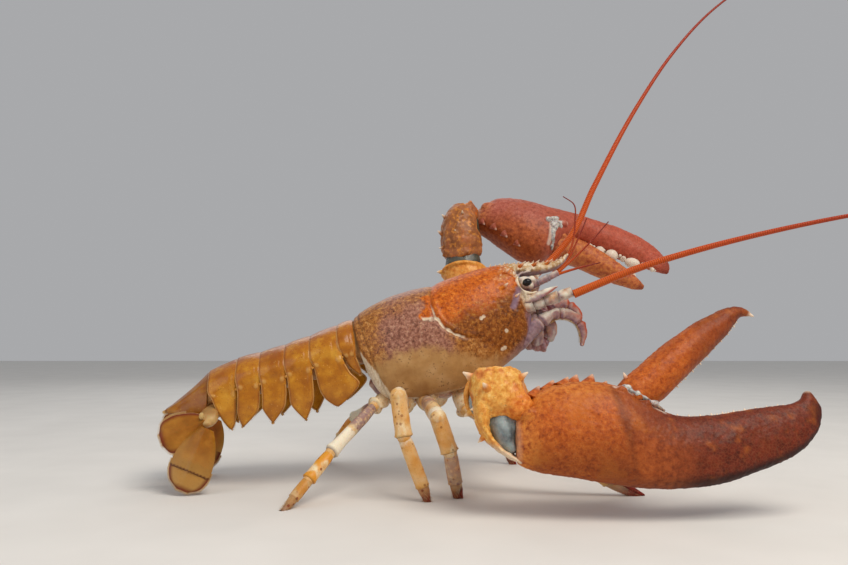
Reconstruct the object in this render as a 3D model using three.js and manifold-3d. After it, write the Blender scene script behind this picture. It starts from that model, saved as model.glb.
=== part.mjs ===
// An American lobster, life size, standing on its walking legs with its head raised and both claws held forward.
// Millimetres. X points forward, Y to the animal's left and Z up, and the legs stand on the plane z = 0.

import * as THREE from "three";
import { mergeVertices } from "three/addons/utils/BufferGeometryUtils.js";
import Module from "manifold-3d";

const wasm = await Module();
wasm.setup();

// Driving sizes, from which the tables further down were scaled
const BODY_PITCH = 17; // degrees that the carapace slopes up towards the head
const REAR_MIDDLE = [-41, 76]; // x and z of the middle of the carapace's rear margin
const JOINT_GAP = 0.38; // how far a piece keeps from the one that it grows from
const FLOOR_DEPTH = 6; // how deep the tips of the legs are cut away under the floor
const TAIL_BEND = [-62, 18, 96]; // the tail turns from this x on, by these degrees over this length

const point = (x, y, z) => new THREE.Vector3(x, y, z);
const radians = (degrees) => (degrees * Math.PI) / 180;
const signedPower = (value, power) => Math.sign(value) * Math.abs(value) ** power;
const SIDES = { right: -1, left: 1 };

// Looks a row up in a table sorted by its first column, and blends smoothly between rows.
function blendRows(table, at) {
  const last = table.length - 1;
  let k = 0;
  while (k < last - 1 && table[k + 1][0] < at) k++;
  const [before, after] = [table[k], table[k + 1]];
  const share = Math.min(1, Math.max(0, (at - before[0]) / (after[0] - before[0])));
  return before.map((value, column) => value + (after[column] - value) * share);
}

// A closed skin over rings of points. Each end closes on a pole, pushed out along the skin by ends[0] or ends[1].
function loft(sides, rings, place, ends = [0, 0]) {
  const geometry = new THREE.SphereGeometry(1, sides, rings + 1);
  const rows = [];
  for (let ring = 0; ring < rings; ring++) {
    rows.push([]);
    for (let side = 0; side < sides; side++) rows[ring].push(place(ring, (side / sides) * 2 * Math.PI));
  }
  const middle = (row) => row.reduce((sum, p) => sum.add(p), point(0, 0, 0)).divideScalar(sides);
  const pole = (end, inner, push) => {
    const tip = middle(end);
    return tip.clone().add(tip.clone().sub(middle(inner)).setLength(push));
  };
  const poles = [pole(rows[0], rows[1], ends[0]), pole(rows[rings - 1], rows[rings - 2], ends[1])];
  const position = geometry.attributes.position;
  for (let i = 0; i < position.count; i++) {
    const line = Math.floor(i / (sides + 1));
    const side = (i % (sides + 1)) % sides;
    const p = line === 0 ? poles[0] : line === rings + 1 ? poles[1] : rows[line - 1][side];
    position.setXYZ(i, p.x, p.y, p.z);
  }
  return geometry;
}

// A limb of oval section through its joints. Each row is a centre and the half sizes towards up and across.
function limb(rows, up, sides = 8, ends = [0, 0]) {
  const centres = rows.map(([centre]) => centre);
  const upward = point(...up);
  return loft(
    sides,
    rows.length,
    (ring, angle) => {
      const next = centres[Math.min(ring + 1, rows.length - 1)];
      const previous = centres[Math.max(ring - 1, 0)];
      const along = next.clone().sub(previous).normalize();
      const across = along.clone().cross(upward).normalize();
      const high = across.clone().cross(along);
      const [centre, halfHigh, halfAcross] = rows[ring];
      return centre
        .clone()
        .addScaledVector(high, Math.sin(angle) * halfHigh)
        .addScaledVector(across, Math.cos(angle) * halfAcross);
    },
    ends,
  );
}

// One straight limb segment from a to b. The profile's rows are a share of its length and a share of its thickness.
function segment(a, b, thick, profile, sides = 8, up = [0, 0, 1]) {
  const rows = profile.map(([share, scale]) => {
    const centre = a.clone().lerp(b, share);
    return [centre, thick[0] * scale, thick[1] * scale];
  });
  return limb(rows, up, sides, [thick[0] * 0.25, thick[0] * 0.25]);
}

// A short spine whose root is sunk in the surface that it grows from
function spine(root, tip, radius, sides = 5) {
  const shaft = tip.clone().sub(root);
  const rows = [0, 0.5].map((share) => {
    const half = radius * (1 - share * 0.75);
    return [root.clone().addScaledVector(shaft, share), half, half];
  });
  const up = Math.abs(shaft.z) > Math.abs(shaft.x) ? [1, 0, 0.1] : [0, 0.1, 1];
  return limb(rows, up, sides, [0.1, shaft.length() * 0.5]);
}

// A rounded tooth
function knob(centre, radius, stretch = [1, 1, 1]) {
  const ball = new THREE.SphereGeometry(radius, 6, 4);
  ball.scale(...stretch);
  return ball.translate(centre.x, centre.y, centre.z);
}

// Pushes a closed surface out along its own normals, further at sharp corners so that its faces all move enough.
function grown(geometry, distance) {
  const skin = welded(geometry);
  skin.computeVertexNormals();
  const position = skin.attributes.position;
  const corner = (i) => point(0, 0, 0).fromBufferAttribute(position, i);
  const normal = (i) => point(0, 0, 0).fromBufferAttribute(skin.attributes.normal, i);
  const flattest = new Float32Array(position.count).fill(1);
  const index = skin.index.array;
  for (let i = 0; i < index.length; i += 3) {
    const [a, b, c] = [corner(index[i]), corner(index[i + 1]), corner(index[i + 2])];
    const face = b.sub(a).cross(c.sub(a)).normalize();
    for (let k = i; k < i + 3; k++)
      flattest[index[k]] = Math.min(flattest[index[k]], normal(index[k]).dot(face));
  }
  const outwards = solidOf(skin).turned ? -distance : distance;
  for (let i = 0; i < position.count; i++) {
    const moved = corner(i).addScaledVector(normal(i), outwards / Math.max(flattest[i], 0.25));
    position.setXYZ(i, moved.x, moved.y, moved.z);
  }
  skin.deleteAttribute("normal");
  return skin;
}

function welded(geometry) {
  const skin = geometry.clone();
  skin.deleteAttribute("normal");
  skin.deleteAttribute("uv");
  return mergeVertices(skin, 1e-4);
}

// The geometry as a solid, with its faces turned out, and whether they had to be turned
function solidOf(geometry) {
  const skin = welded(geometry);
  const vertProperties = new Float32Array(skin.attributes.position.array);
  const triVerts = new Uint32Array(skin.index.array);
  let solid = new wasm.Manifold(new wasm.Mesh({ numProp: 3, vertProperties, triVerts }));
  const turned = solid.volume() < 0;
  if (turned) {
    for (let i = 0; i < triVerts.length; i += 3)
      [triVerts[i], triVerts[i + 1]] = [triVerts[i + 1], triVerts[i]];
    solid = new wasm.Manifold(new wasm.Mesh({ numProp: 3, vertProperties, triVerts }));
  }
  return { solid, turned };
}

const joined = (geometries) =>
  geometries.map((g) => solidOf(g).solid).reduce((whole, piece) => whole.add(piece));
const largest = (solid) => solid.decompose().reduce((a, b) => (a.volume() > b.volume() ? a : b));

const lobster = new THREE.Group();
const cores = new Map(); // node name to the grown solid that its neighbours are cut by

// Adds a node: its pieces joined, cut by the solids in carve and cut clear of the nodes named in clearOf.
function addNode(name, material, pieces, { clearOf = [], carve = [] } = {}) {
  let solid = joined(pieces);
  for (const cutter of carve) solid = solid.subtract(cutter);
  for (const other of clearOf) solid = solid.subtract(cores.get(other));
  solid = largest(solid);
  cores.set(name, joined(pieces.map((g) => grown(g, JOINT_GAP))));
  const made = solid.getMesh();
  const geometry = new THREE.BufferGeometry();
  const position = new Float32Array(made.numVert * 3);
  for (let i = 0; i < made.numVert; i++)
    for (let axis = 0; axis < 3; axis++)
      position[i * 3 + axis] = made.vertProperties[i * made.numProp + axis];
  geometry.setAttribute("position", new THREE.BufferAttribute(position, 3));
  geometry.setIndex(new THREE.BufferAttribute(new Uint32Array(made.triVerts), 1));
  geometry.computeVertexNormals();
  const mesh = new THREE.Mesh(geometry, material);
  mesh.name = name;
  lobster.add(mesh);
  return solid;
}

const shell = (color, roughness = 0.38) =>
  new THREE.MeshStandardMaterial({ color, roughness, metalness: 0 });
const ORANGE_SHELL = shell(0xc8702a);
const TAIL_SHELL = shell(0xbf741f);
const CLAW_SHELL = shell(0xb8532a);
const LEG_SHELL = shell(0xdca869, 0.45);
const PALE_SHELL = shell(0xd9b892, 0.5);
const FEELER_SHELL = shell(0xc4501e, 0.45);
const EYE_BLACK = shell(0x0a0808, 0.12);

// The carapace, in a frame along the body: rows are along, top, bottom and half width.
const CARAPACE = [
  [4, 21.5, -13, 22.5],
  [7, 23.6, -22.5, 25],
  [11.5, 25.2, -30, 27],
  [19, 27, -33, 28.9],
  [28, 28.3, -34.4, 30.3],
  [38, 28.8, -35.4, 31],
  [47, 28.3, -36.3, 31],
  [53, 27.6, -36.5, 30.7],
  [56.5, 27.1, -36.4, 30.2],
  [60, 27.9, -36, 29.8],
  [68, 28.6, -34.8, 28.7],
  [77, 29, -32.6, 27],
  [85, 29, -30, 25],
  [92.4, 28.4, -27, 22.8],
  [99, 27.4, -23, 20.4],
  [104, 26.2, -18.4, 18],
  [107, 24.4, -13.4, 15],
];
const WIDEST_SHARE = 0.42; // height of the widest level, as a share of the carapace's height
const MARGIN_ANGLE = radians(56.25); // where the side wall ends at the lower margin
const MARGIN_SHARE = 0.64; // half width between the lower margins, as a share of the half width
const BELLY_RISE = 5; // how far the underside rises between the margins
const SHELL_POWER = 0.93; // under 1 makes the arch a little fuller than an ellipse

const pitch = radians(BODY_PITCH);
const bodyPoint = (along, side, up) =>
  point(
    REAR_MIDDLE[0] + along * Math.cos(pitch) - up * Math.sin(pitch),
    side,
    REAR_MIDDLE[1] + along * Math.sin(pitch) + up * Math.cos(pitch),
  );

function carapaceSection([, top, bottom, half], angle) {
  const wide = bottom + WIDEST_SHARE * (top - bottom);
  const [c, s] = [Math.cos(angle), Math.sin(angle)];
  if (s >= -1e-9)
    return [half * signedPower(c, SHELL_POWER), wide + (top - wide) * signedPower(s, SHELL_POWER)];
  const dip = Math.asin(-s);
  const side = Math.sign(c) || 1;
  if (dip <= MARGIN_ANGLE + 1e-9) {
    const share = dip / MARGIN_ANGLE;
    const wall = Math.sin((share * Math.PI) / 2);
    return [side * half * (1 - (1 - MARGIN_SHARE) * share ** 2), wide - (wide - bottom) * wall];
  }
  const share = (dip - MARGIN_ANGLE) / (Math.PI / 2 - MARGIN_ANGLE);
  return [side * half * MARGIN_SHARE * (1 - share), bottom + BELLY_RISE * share];
}

// Half width of the carapace at a place along it and a height
function carapaceSide(along, up) {
  const [, top, bottom, half] = blendRows(CARAPACE, along);
  const wide = bottom + WIDEST_SHARE * (top - bottom);
  if (up >= wide) {
    const s = Math.min(1, (up - wide) / (top - wide)) ** (1 / SHELL_POWER);
    return half * Math.sqrt(1 - s * s) ** SHELL_POWER;
  }
  const share = Math.asin(Math.min(1, (wide - up) / (wide - bottom))) / (Math.PI / 2);
  return half * (1 - (1 - MARGIN_SHARE) * share ** 2);
}

const carapaceShell = loft(
  26,
  CARAPACE.length,
  (ring, angle) => {
    const [side, up] = carapaceSection(CARAPACE[ring], angle);
    return bodyPoint(CARAPACE[ring][0], side, up);
  },
  [0.5, 1],
);

// The rostrum: rows are along, top, bottom and half width.
const ROSTRUM = [
  [86, 28.6, 19, 8],
  [97, 27.8, 18.6, 9.6],
  [106, 26, 18, 8.2],
  [114, 24.4, 17.6, 6.6],
  [122, 22.6, 17.4, 5],
  [130, 20.8, 17, 3.6],
  [137, 20.6, 18, 2.2],
  [142, 22.2, 20.8, 0.9],
];
const rostrum = loft(
  10,
  ROSTRUM.length,
  (ring, angle) => {
    const [along, top, bottom, half] = ROSTRUM[ring];
    const up = (top + bottom) / 2 + (Math.sin(angle) * (top - bottom)) / 2;
    return bodyPoint(along, Math.cos(angle) * half, up);
  },
  [0.5, 0.8],
);

// Spines beside and on the rostrum, and behind each eye: along, side and up of the root, then length and radius
const HEAD_SPINES = [
  [110, 6.6, 22, 6.5, 1.7],
  [119, 5, 20.6, 6, 1.5],
  [128, 3.6, 19.4, 5, 1.2],
  [99, 13.6, 20.5, 5.5, 1.6],
  [99.5, 17.6, 4.5, 5.5, 1.9],
  [86, 20.6, 17.4, 3.6, 1.6],
];
const headSpines = HEAD_SPINES.flatMap(([along, side, up, length, radius]) =>
  Object.values(SIDES).map((sign) =>
    spine(
      bodyPoint(along - 1.5, sign * (side - 1.2), up - 0.4),
      bodyPoint(along + length * 0.8, sign * (side + length * 0.28), up + length * 0.42),
      radius,
    ),
  ),
);
const CREST_SPINES = 5; // small spines along the top of the rostrum
for (let k = 0; k < CREST_SPINES; k++) {
  const along = 96 + k * 7.5;
  const [, top] = blendRows(ROSTRUM, along);
  const sway = (k % 2 ? 1 : -1) * 2.2;
  headSpines.push(spine(bodyPoint(along, sway, top - 1.6), bodyPoint(along + 1.6, sway, top + 1.9), 1.1));
}

// The cervical groove, cut as a round channel from one side over the back to the other: along and up
const GROOVE = [
  [72, -11.5],
  [66, -9.5],
  [59.5, -5],
  [54.5, 1],
  [52, 8],
  [51.6, 15],
  [53, 21],
  [55, 25.4],
];
const GROOVE_RADIUS = 1.35;
const grooveHalf = GROOVE.map(([along, up], k) => {
  const radius = GROOVE_RADIUS * Math.min(1, 0.35 + k * 0.3);
  return [along, carapaceSide(along, up) + 0.3, up, radius];
});
const grooveRows = [
  ...grooveHalf.map(([along, side, up, r]) => [bodyPoint(along, side, up), r, r]),
  [bodyPoint(56, 0, 27.7), GROOVE_RADIUS, GROOVE_RADIUS],
  ...grooveHalf.toReversed().map(([along, side, up, r]) => [bodyPoint(along, -side, up), r, r]),
];
const groove = solidOf(limb(grooveRows, [1, 0, 0.3], 4)).solid;

const head = [carapaceShell, rostrum];
addNode("carapace", ORANGE_SHELL, [...head, ...headSpines], { carve: [groove] });

// The sternum, between the bases of the legs: rows are along, middle height, half height and half width.
const STERNUM = [
  [6, -18, 5, 8],
  [12, -27, 6, 12],
  [24, -31.5, 6.5, 14.5],
  [40, -33.2, 6.5, 15],
  [56, -33, 6.5, 14],
  [70, -30, 6, 12],
  [82, -27.5, 5.5, 10],
  [92, -22.5, 5, 8],
];
const sternum = loft(12, STERNUM.length, (ring, angle) => {
  const [along, up, high, half] = STERNUM[ring];
  return bodyPoint(along, Math.cos(angle) * half, up + Math.sin(angle) * high);
});
addNode("sternum", PALE_SHELL, [sternum], { clearOf: ["carapace"] });

// Turns the tail gently to the animal's right.
function bendTail(geometry) {
  const [start, degrees, length] = TAIL_BEND;
  const radius = length / radians(degrees);
  const position = geometry.attributes.position;
  for (let i = 0; i < position.count; i++) {
    const past = start - position.getX(i);
    if (past <= 0) continue;
    const turn = past / radius;
    const side = position.getY(i);
    position.setX(i, start - radius * Math.sin(turn) - side * Math.sin(turn));
    position.setY(i, side * Math.cos(turn) - radius * (1 - Math.cos(turn)));
  }
  return geometry;
}

// The abdomen: each joint is a point of the dorsal line, the lean of its plane, a half width and a height.
const TAIL_JOINTS = [
  [-44.3, 97.9, 14, 22.4, 31],
  [-52.2, 94.9, 12.5, 25, 31],
  [-68.4, 88.4, 10, 25.8, 30],
  [-83.6, 83, 6.5, 25.4, 29],
  [-98.8, 78.2, 4, 24.2, 28],
  [-112.6, 74.6, 1, 22.4, 27],
  [-130.2, 66.6, 0, 18.6, 24],
];
const TERGITE_RINGS = [
  [0, 0.92],
  [0.14, 0.985],
  [0.6, 1.03],
  [1, 0.985],
];
const PLATE_GAP = 0.2; // kept at each end of a tail plate, so that two plates stay 0.4 apart
const ARCH_SHARE = 0.6; // height of the widest level of the tail below the back, as a share

// A point of the tail's frame: share runs from the front joint of a segment to its rear joint.
function tailFrame(number, share) {
  const [front, rear] = [TAIL_JOINTS[number - 1], TAIL_JOINTS[number]];
  const [x, z, lean, half, height] = front.map((value, k) => value + (rear[k] - value) * share);
  const down = point(Math.sin(radians(lean)), 0, -Math.cos(radians(lean)));
  const back = point(-Math.cos(radians(lean)), 0, -Math.sin(radians(lean)));
  return { top: point(x, 0, z), down, back, half, height };
}

function tergite(number) {
  return loft(18, TERGITE_RINGS.length, (ring, angle) => {
    const [share, scale] = TERGITE_RINGS[ring];
    const { top, down, back, half, height } = tailFrame(number, share);
    const [c, s] = [Math.cos(angle), Math.sin(angle)];
    const wide = height * ARCH_SHARE;
    const depth = s >= 0 ? wide - wide * signedPower(s, 0.9) : wide + (height - wide) * signedPower(-s, 0.7);
    const pull = s >= 0 ? 1 : 1 - 0.12 * Math.abs(s);
    const inset = share === 0 ? PLATE_GAP : share === 1 ? -PLATE_GAP : 0;
    return top
      .clone()
      .addScaledVector(down, height / 2 + (depth - height / 2) * scale)
      .addScaledVector(back, inset)
      .add(point(0, half * scale * pull * signedPower(c, 0.85), 0));
  });
}

// A pleuron, the flap at the side of a tail segment: rows are depth below the back, shift backwards and half length.
const PLEURA = {
  1: [
    [14, 0, 3.2],
    [22, 0, 3.2],
    [28, -1.4, 3],
    [33.5, -3.8, 0.9],
  ],
  2: [
    [17, 0, 7.8],
    [28, -2.4, 10],
    [35, -4.8, 11.4],
    [41, -3.6, 7.4],
    [46, -2.6, 1.4],
  ],
  3: [
    [17, 0, 7.4],
    [30, 0, 7.5],
    [37, 0.4, 6.8],
    [43, 0.2, 4],
    [46.5, -0.4, 0.9],
  ],
  4: [
    [17, 0, 7.2],
    [29, 0.1, 7.3],
    [34, 0.8, 6.6],
    [38.5, 1.8, 4.2],
    [42.4, 2, 0.9],
  ],
  5: [
    [17, 0, 6.6],
    [27, 0, 6.7],
    [32, 0.7, 6.2],
    [36.5, 2.4, 4.2],
    [40.4, 4.2, 0.9],
  ],
  6: [
    [14, -0.6, 8],
    [23, -2.6, 6.2],
    [28, -4.2, 4.6],
    [33, -5.8, 2.6],
    [37, -6.8, 0.8],
  ],
};
const PLEURON_THICKNESS = 1.1; // half of it

function pleuron(number, sign) {
  const rows = PLEURA[number];
  const { top, down, back, half } = tailFrame(number, 0.5);
  return loft(7, rows.length, (ring, angle) => {
    const [depth, shift, halfLength] = rows[ring];
    const flare = half - 1.4 + Math.sin((ring / rows.length) * Math.PI) * 0.9;
    return top
      .clone()
      .addScaledVector(down, depth)
      .addScaledVector(back, shift + Math.cos(angle) * halfLength)
      .add(point(0, sign * (flare + Math.sin(angle) * PLEURON_THICKNESS), 0));
  });
}

// A swimmeret: a flat lobe that hangs under the tail and leans back
function swimmeret(number, sign) {
  const { top, down, back, half, height } = tailFrame(number, 0.5);
  const rows = [
    [-4, 0, 2.4],
    [3, 1, 3.6],
    [8, 3.4, 4],
    [12.5, 6.2, 1.6],
  ];
  return loft(5, rows.length, (ring, angle) => {
    const [depth, shift, halfWidth] = rows[ring];
    return top
      .clone()
      .addScaledVector(down, height + depth)
      .addScaledVector(back, shift + Math.cos(angle) * 1.1)
      .add(point(0, sign * half * 0.5 + Math.sin(angle) * halfWidth, 0));
  });
}

for (let number = 1; number <= 6; number++) {
  const pieces = [tergite(number)];
  for (const sign of Object.values(SIDES)) {
    pieces.push(pleuron(number, sign));
    if (number > 1 && number < 6) pieces.push(swimmeret(number, sign));
  }
  const clearOf = number === 1 ? ["carapace", "sternum"] : [`abdomen_${number - 1}`];
  addNode(`abdomen_${number}`, TAIL_SHELL, pieces.map(bendTail), { clearOf });
}

// The uropods: a short base on each side of the last segment that carries two flat blades
for (const [side, sign] of Object.entries(SIDES)) {
  const protopod = segment(
    point(-126.4, sign * 13, 45.4),
    point(-129.2, sign * 24.5, 38),
    [6, 4.6],
    [
      [-0.2, 0.6],
      [0.05, 0.95],
      [0.6, 1],
      [1.02, 0.66],
    ],
    8,
    [1, 0, 0.5],
  );
  addNode(`uropod_base_${side}`, TAIL_SHELL, [bendTail(protopod)], { clearOf: ["abdomen_6", "abdomen_5"] });
}

// The telson, arched like a roof at its root and flat at its tip. Rows are a share of its length, half width,
// how far its sides hang below the middle, and its thickness.
const TELSON_ROOT = [-130.4, 66, 0]; // x and z of the middle, and how its plane leans in degrees
const TELSON_TIP = [-155.4, 43.6, 46];
const TELSON = [
  [0, 17.6, 20, 3.4],
  [0.2, 16.8, 19.4, 3.2],
  [0.45, 15.8, 16, 2.8],
  [0.7, 14.4, 10.6, 2.4],
  [0.9, 11.4, 4.6, 2],
  [1, 7.4, 1.6, 1.4],
];
const telson = loft(18, TELSON.length, (ring, angle) => {
  const [share, half, hang, thick] = TELSON[ring];
  const [x, z, lean] = TELSON_ROOT.map((value, k) => value + (TELSON_TIP[k] - value) * share);
  const down = point(Math.sin(radians(lean)), 0, -Math.cos(radians(lean)));
  const [c, s] = [Math.cos(angle), Math.sin(angle)];
  const inset = s < -1e-9 ? thick : 0;
  const depth = hang * (1 - Math.abs(s) ** 0.9) + inset * Math.abs(s);
  return point(x, (half - inset) * c, z).addScaledVector(down, depth);
});
addNode("telson", TAIL_SHELL, [bendTail(telson)], {
  clearOf: ["abdomen_6", "uropod_base_right", "uropod_base_left"],
});

// A flat blade from root to tip. Rows are a share of its length, its half width and its half thickness.
function blade(root, tip, normal, rows, camber = 1.5, sides = 10) {
  const along = tip.clone().sub(root);
  const face = normal.clone().normalize();
  const across = along.clone().cross(face).normalize();
  const out = across.clone().cross(along).normalize();
  return loft(sides, rows.length, (ring, angle) => {
    const [share, halfWidth, halfThick] = rows[ring];
    const c = Math.cos(angle);
    return root
      .clone()
      .addScaledVector(along, share)
      .addScaledVector(across, c * halfWidth)
      .addScaledVector(out, Math.sin(angle) * halfThick + camber * (0.5 - c * c));
  });
}

const ENDOPOD = [
  [0, 3.4, 1.5],
  [0.16, 6.8, 1.3],
  [0.42, 9.6, 1.1],
  [0.7, 10.6, 1],
  [0.9, 8.6, 0.8],
  [1, 5, 0.5],
];
const EXOPOD = [
  [0, 4.6, 1.6],
  [0.14, 8, 1.4],
  [0.38, 11.6, 1.2],
  [0.62, 12.8, 1.1],
  [0.76, 12.4, 1],
  [0.9, 9.6, 0.8],
  [1, 5.4, 0.5],
];
for (const [side, sign] of Object.entries(SIDES)) {
  const at = (x, y, z) => point(x, sign * y, z);
  const clearOf = ["abdomen_6", "abdomen_5", `uropod_base_${side}`, "telson"];
  const endopod = blade(at(-129.6, 23.4, 39.4), at(-156, 25, 29.4), at(-0.12, 0.95, 0.3), ENDOPOD);
  addNode(`uropod_inner_${side}`, TAIL_SHELL, [bendTail(endopod)], { clearOf });
  clearOf.push(`uropod_inner_${side}`);
  const exopod = blade(at(-129, 27.8, 35.4), at(-142.4, 34, 2.8), at(-0.18, 0.96, 0.1), EXOPOD);
  addNode(`uropod_outer_${side}`, TAIL_SHELL, [bendTail(exopod)], { clearOf });
}

// The head's appendages are given in the body's frame: along, side and up.
const EYE_RADIUS = 3.4;
const EYE = [110.6, 14, 11.8];
const STALK = [
  [106, 5, 13, 3],
  [108.6, 8.4, 12.6, 4.2],
  [110.6, 12, 12, 4.3],
];
const bodyLimb = (rows, sign, sides = 8, ends = [0, 0], up = [0.3, 0, 1]) =>
  limb(
    rows.map(([along, side, high, a, b = a]) => [bodyPoint(along, sign * side, high), a, b]),
    up,
    sides,
    ends,
  );

// The antenna's base: three stout articles that carry the flagellum, and the pointed scale beside them.
// The left feeler is raised and the right one points ahead.
const FEELER = {
  right: {
    base: [
      [104, 12.4, -4, 5],
      [109, 13, -3.6, 5],
      [114, 13.6, -3.2, 4.4],
      [117.4, 14, -2.8, 3.7],
      [121, 14.6, -2.4, 4.4],
      [126, 15.4, -2, 4],
      [128.6, 15.8, -1.8, 3.1],
      [133.6, 16.8, -1.4, 3.1],
    ],
    path: [
      [88.8, -17.2, 112.4],
      [106, -21, 119.6],
      [124.7, -26, 126.9],
      [156, -34, 136.4],
      [190, -45, 144.6],
      [226, -58, 151.4],
      [264, -72, 156.2],
      [302, -88, 158.4],
      [338, -106, 158.6],
    ],
  },
  left: {
    base: [
      [104, 12.4, -4, 5],
      [109, 13, -3, 5],
      [112.6, 13.8, 0, 4.4],
      [115, 14.6, 3, 3.7],
      [117.4, 15.4, 6.4, 4.4],
      [119.4, 16.2, 10.4, 4],
      [120.8, 16.8, 13, 3.3],
      [121.6, 17.4, 16, 3.3],
    ],
    path: [
      [71.4, 17.8, 127.4],
      [81, 18.8, 136],
      [94, 20.4, 151],
      [112, 26, 186],
      [144.4, 38, 243],
      [174.8, 48, 287],
      [207.7, 58, 323],
      [242, 67, 349],
      [276, 75, 366],
    ],
  },
};
const FLAGELLUM_ROOT = 2.5; // radius of the feeler where it leaves its base
const FLAGELLUM_END = 0.55; // its radius at the tip
const FLAGELLUM_SPLIT = 0.45; // share of its length where it is divided into two lengths

function flagellum(path, from, to, rings) {
  const curve = new THREE.CatmullRomCurve3(path.map((p) => point(...p)));
  const rows = [];
  for (let k = 0; k < rings; k++) {
    const share = from + ((to - from) * k) / (rings - 1);
    const radius = FLAGELLUM_END + (FLAGELLUM_ROOT - FLAGELLUM_END) * (1 - share) ** 1.5;
    rows.push([curve.getPointAt(share), radius, radius]);
  }
  return limb(rows, [0, 1, 0], 6, [0.1, 0.3]);
}

// Antennules: a short stem with two thin flagella each, in the body's frame
const ANTENNULE_STEM = [
  [106, 4.2, 9, 2.4],
  [113, 5, 9.4, 2.7],
  [119, 5.4, 10, 2.3],
  [126, 5.8, 11.2, 2.4],
  [132, 6.2, 12.2, 1.9],
];
const ANTENNULE_THREADS = {
  right: [
    [
      [130, 6, 11.6],
      [145, 8, 18.4],
      [158, 10, 25.4],
      [169.5, 12, 32.6],
    ],
    [
      [130, 6.2, 11.4],
      [140, 8, 11.4],
      [148, 10, 11],
      [157, 12, 10.4],
    ],
  ],
  left: [
    [
      [130, 6, 12.4],
      [147, 8, 24.6],
      [155.6, 9, 41],
      [158.4, 10, 52],
      [153.8, 11, 58.6],
    ],
    [
      [130, 6.2, 12],
      [142, 6.6, 18],
      [153, 7, 29],
      [162.7, 7, 40.4],
    ],
  ],
};
const THREAD_RADIUS = [1.25, 0.4];

function thread(path, sign) {
  const curve = new THREE.CatmullRomCurve3(path.map(([a, s, u]) => bodyPoint(a, sign * s, u)));
  const rows = [];
  for (let k = 0; k < 7; k++) {
    const share = k / 6;
    const radius = THREAD_RADIUS[0] + (THREAD_RADIUS[1] - THREAD_RADIUS[0]) * share;
    rows.push([curve.getPointAt(share), radius, radius]);
  }
  return limb(rows, [0, 1, 0.1], 5, [0.1, 0.2]);
}

for (const [side, sign] of Object.entries(SIDES)) {
  const stalk = bodyLimb(STALK, sign, 10, [0.5, 1]);
  addNode(`eyestalk_${side}`, PALE_SHELL, [stalk], { clearOf: ["carapace"] });
  const centre = bodyPoint(EYE[0], sign * EYE[1], EYE[2]);
  const eye = new THREE.SphereGeometry(EYE_RADIUS, 12, 8).translate(centre.x, centre.y, centre.z);
  addNode(`eye_${side}`, EYE_BLACK, [eye], { clearOf: [`eyestalk_${side}`, "carapace"] });
  const { base, path } = FEELER[side];
  addNode(`antenna_base_${side}`, PALE_SHELL, [bodyLimb(base, sign, 10, [0.5, 0.5])], {
    clearOf: ["carapace", `eyestalk_${side}`],
  });
  const scale = blade(
    bodyPoint(108, sign * 16.4, 1.4),
    bodyPoint(125.6, sign * 19.4, 3.6),
    bodyPoint(0, 0, 1).sub(bodyPoint(0, 0, 0)).add(point(0, sign * 1.2, 0)),
    [
      [0, 3, 1.3],
      [0.35, 3.8, 1.2],
      [0.7, 2.6, 1],
      [1, 0.6, 0.5],
    ],
    0.5,
    8,
  );
  addNode(`antenna_scale_${side}`, PALE_SHELL, [scale], {
    clearOf: ["carapace", `antenna_base_${side}`, `eyestalk_${side}`, `eye_${side}`],
  });
  addNode(`antenna_flagellum_${side}`, FEELER_SHELL, [flagellum(path, 0, FLAGELLUM_SPLIT, 10)], {
    clearOf: [`antenna_base_${side}`, `antenna_scale_${side}`],
  });
  addNode(`antenna_tip_${side}`, FEELER_SHELL, [flagellum(path, FLAGELLUM_SPLIT, 1, 10)], {
    clearOf: [`antenna_flagellum_${side}`],
  });
  const threads = ANTENNULE_THREADS[side].map((rows) => thread(rows, sign));
  addNode(`antennule_${side}`, FEELER_SHELL, [bodyLimb(ANTENNULE_STEM, sign, 7, [0.3, 0.4]), ...threads], {
    clearOf: ["carapace", `eyestalk_${side}`, `antenna_base_${side}`, `antenna_flagellum_${side}`],
  });
}

// The mouth: the mandibles and the smaller mouthparts as one lobed mass, and the two third maxillipeds beside it
const MOUTH = [
  [102, 0, -11, 11, 11],
  [107, 0, -12.6, 11, 11.4],
  [112, 0, -15, 10, 10],
  [116, 0, -18, 7.4, 8],
  [118, 0, -21, 4.4, 5],
];
const MANDIBLE = [
  [100, 5, -20, 5, 4.6],
  [106, 5.4, -24, 5.4, 4.4],
  [111, 5.2, -28, 4.4, 3.4],
];
addNode(
  "mouthparts",
  PALE_SHELL,
  [bodyLimb(MOUTH, 1, 10, [0.5, 1]), ...Object.values(SIDES).map((s) => bodyLimb(MANDIBLE, s, 6, [1, 1.5]))],
  { clearOf: ["carapace", "sternum", "antenna_base_right", "antenna_base_left"] },
);
const MAXILLIPED = {
  right: [
    [92, 12, -24, 3.8, 3.2],
    [98, 13, -21, 4.2, 3.4],
    [105, 13.6, -16.6, 4.3, 3.4],
    [112, 13.4, -13, 4, 3],
    [119, 12.6, -11.2, 3.6, 2.7],
    [126, 11.6, -12.4, 3.3, 2.5],
    [131.6, 10.8, -16, 3.1, 2.3],
    [134.6, 10.2, -21.6, 2.8, 2],
    [134.4, 9.6, -28, 2.2, 1.7],
    [131.8, 9.2, -33.6, 1.2, 1],
  ],
  left: [
    [92, 12, -24, 3.8, 3.2],
    [98, 13, -21, 4.2, 3.4],
    [105, 13.6, -16, 4.3, 3.4],
    [112, 13.8, -11, 4, 3],
    [120, 13.4, -7, 3.6, 2.7],
    [128, 12.6, -5.4, 3.2, 2.5],
    [134.4, 12, -7.4, 3, 2.3],
    [138.4, 11.6, -11.8, 2.6, 2],
    [140, 11.2, -17, 2, 1.6],
    [139, 11, -21.4, 1.1, 1],
  ],
};
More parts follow.
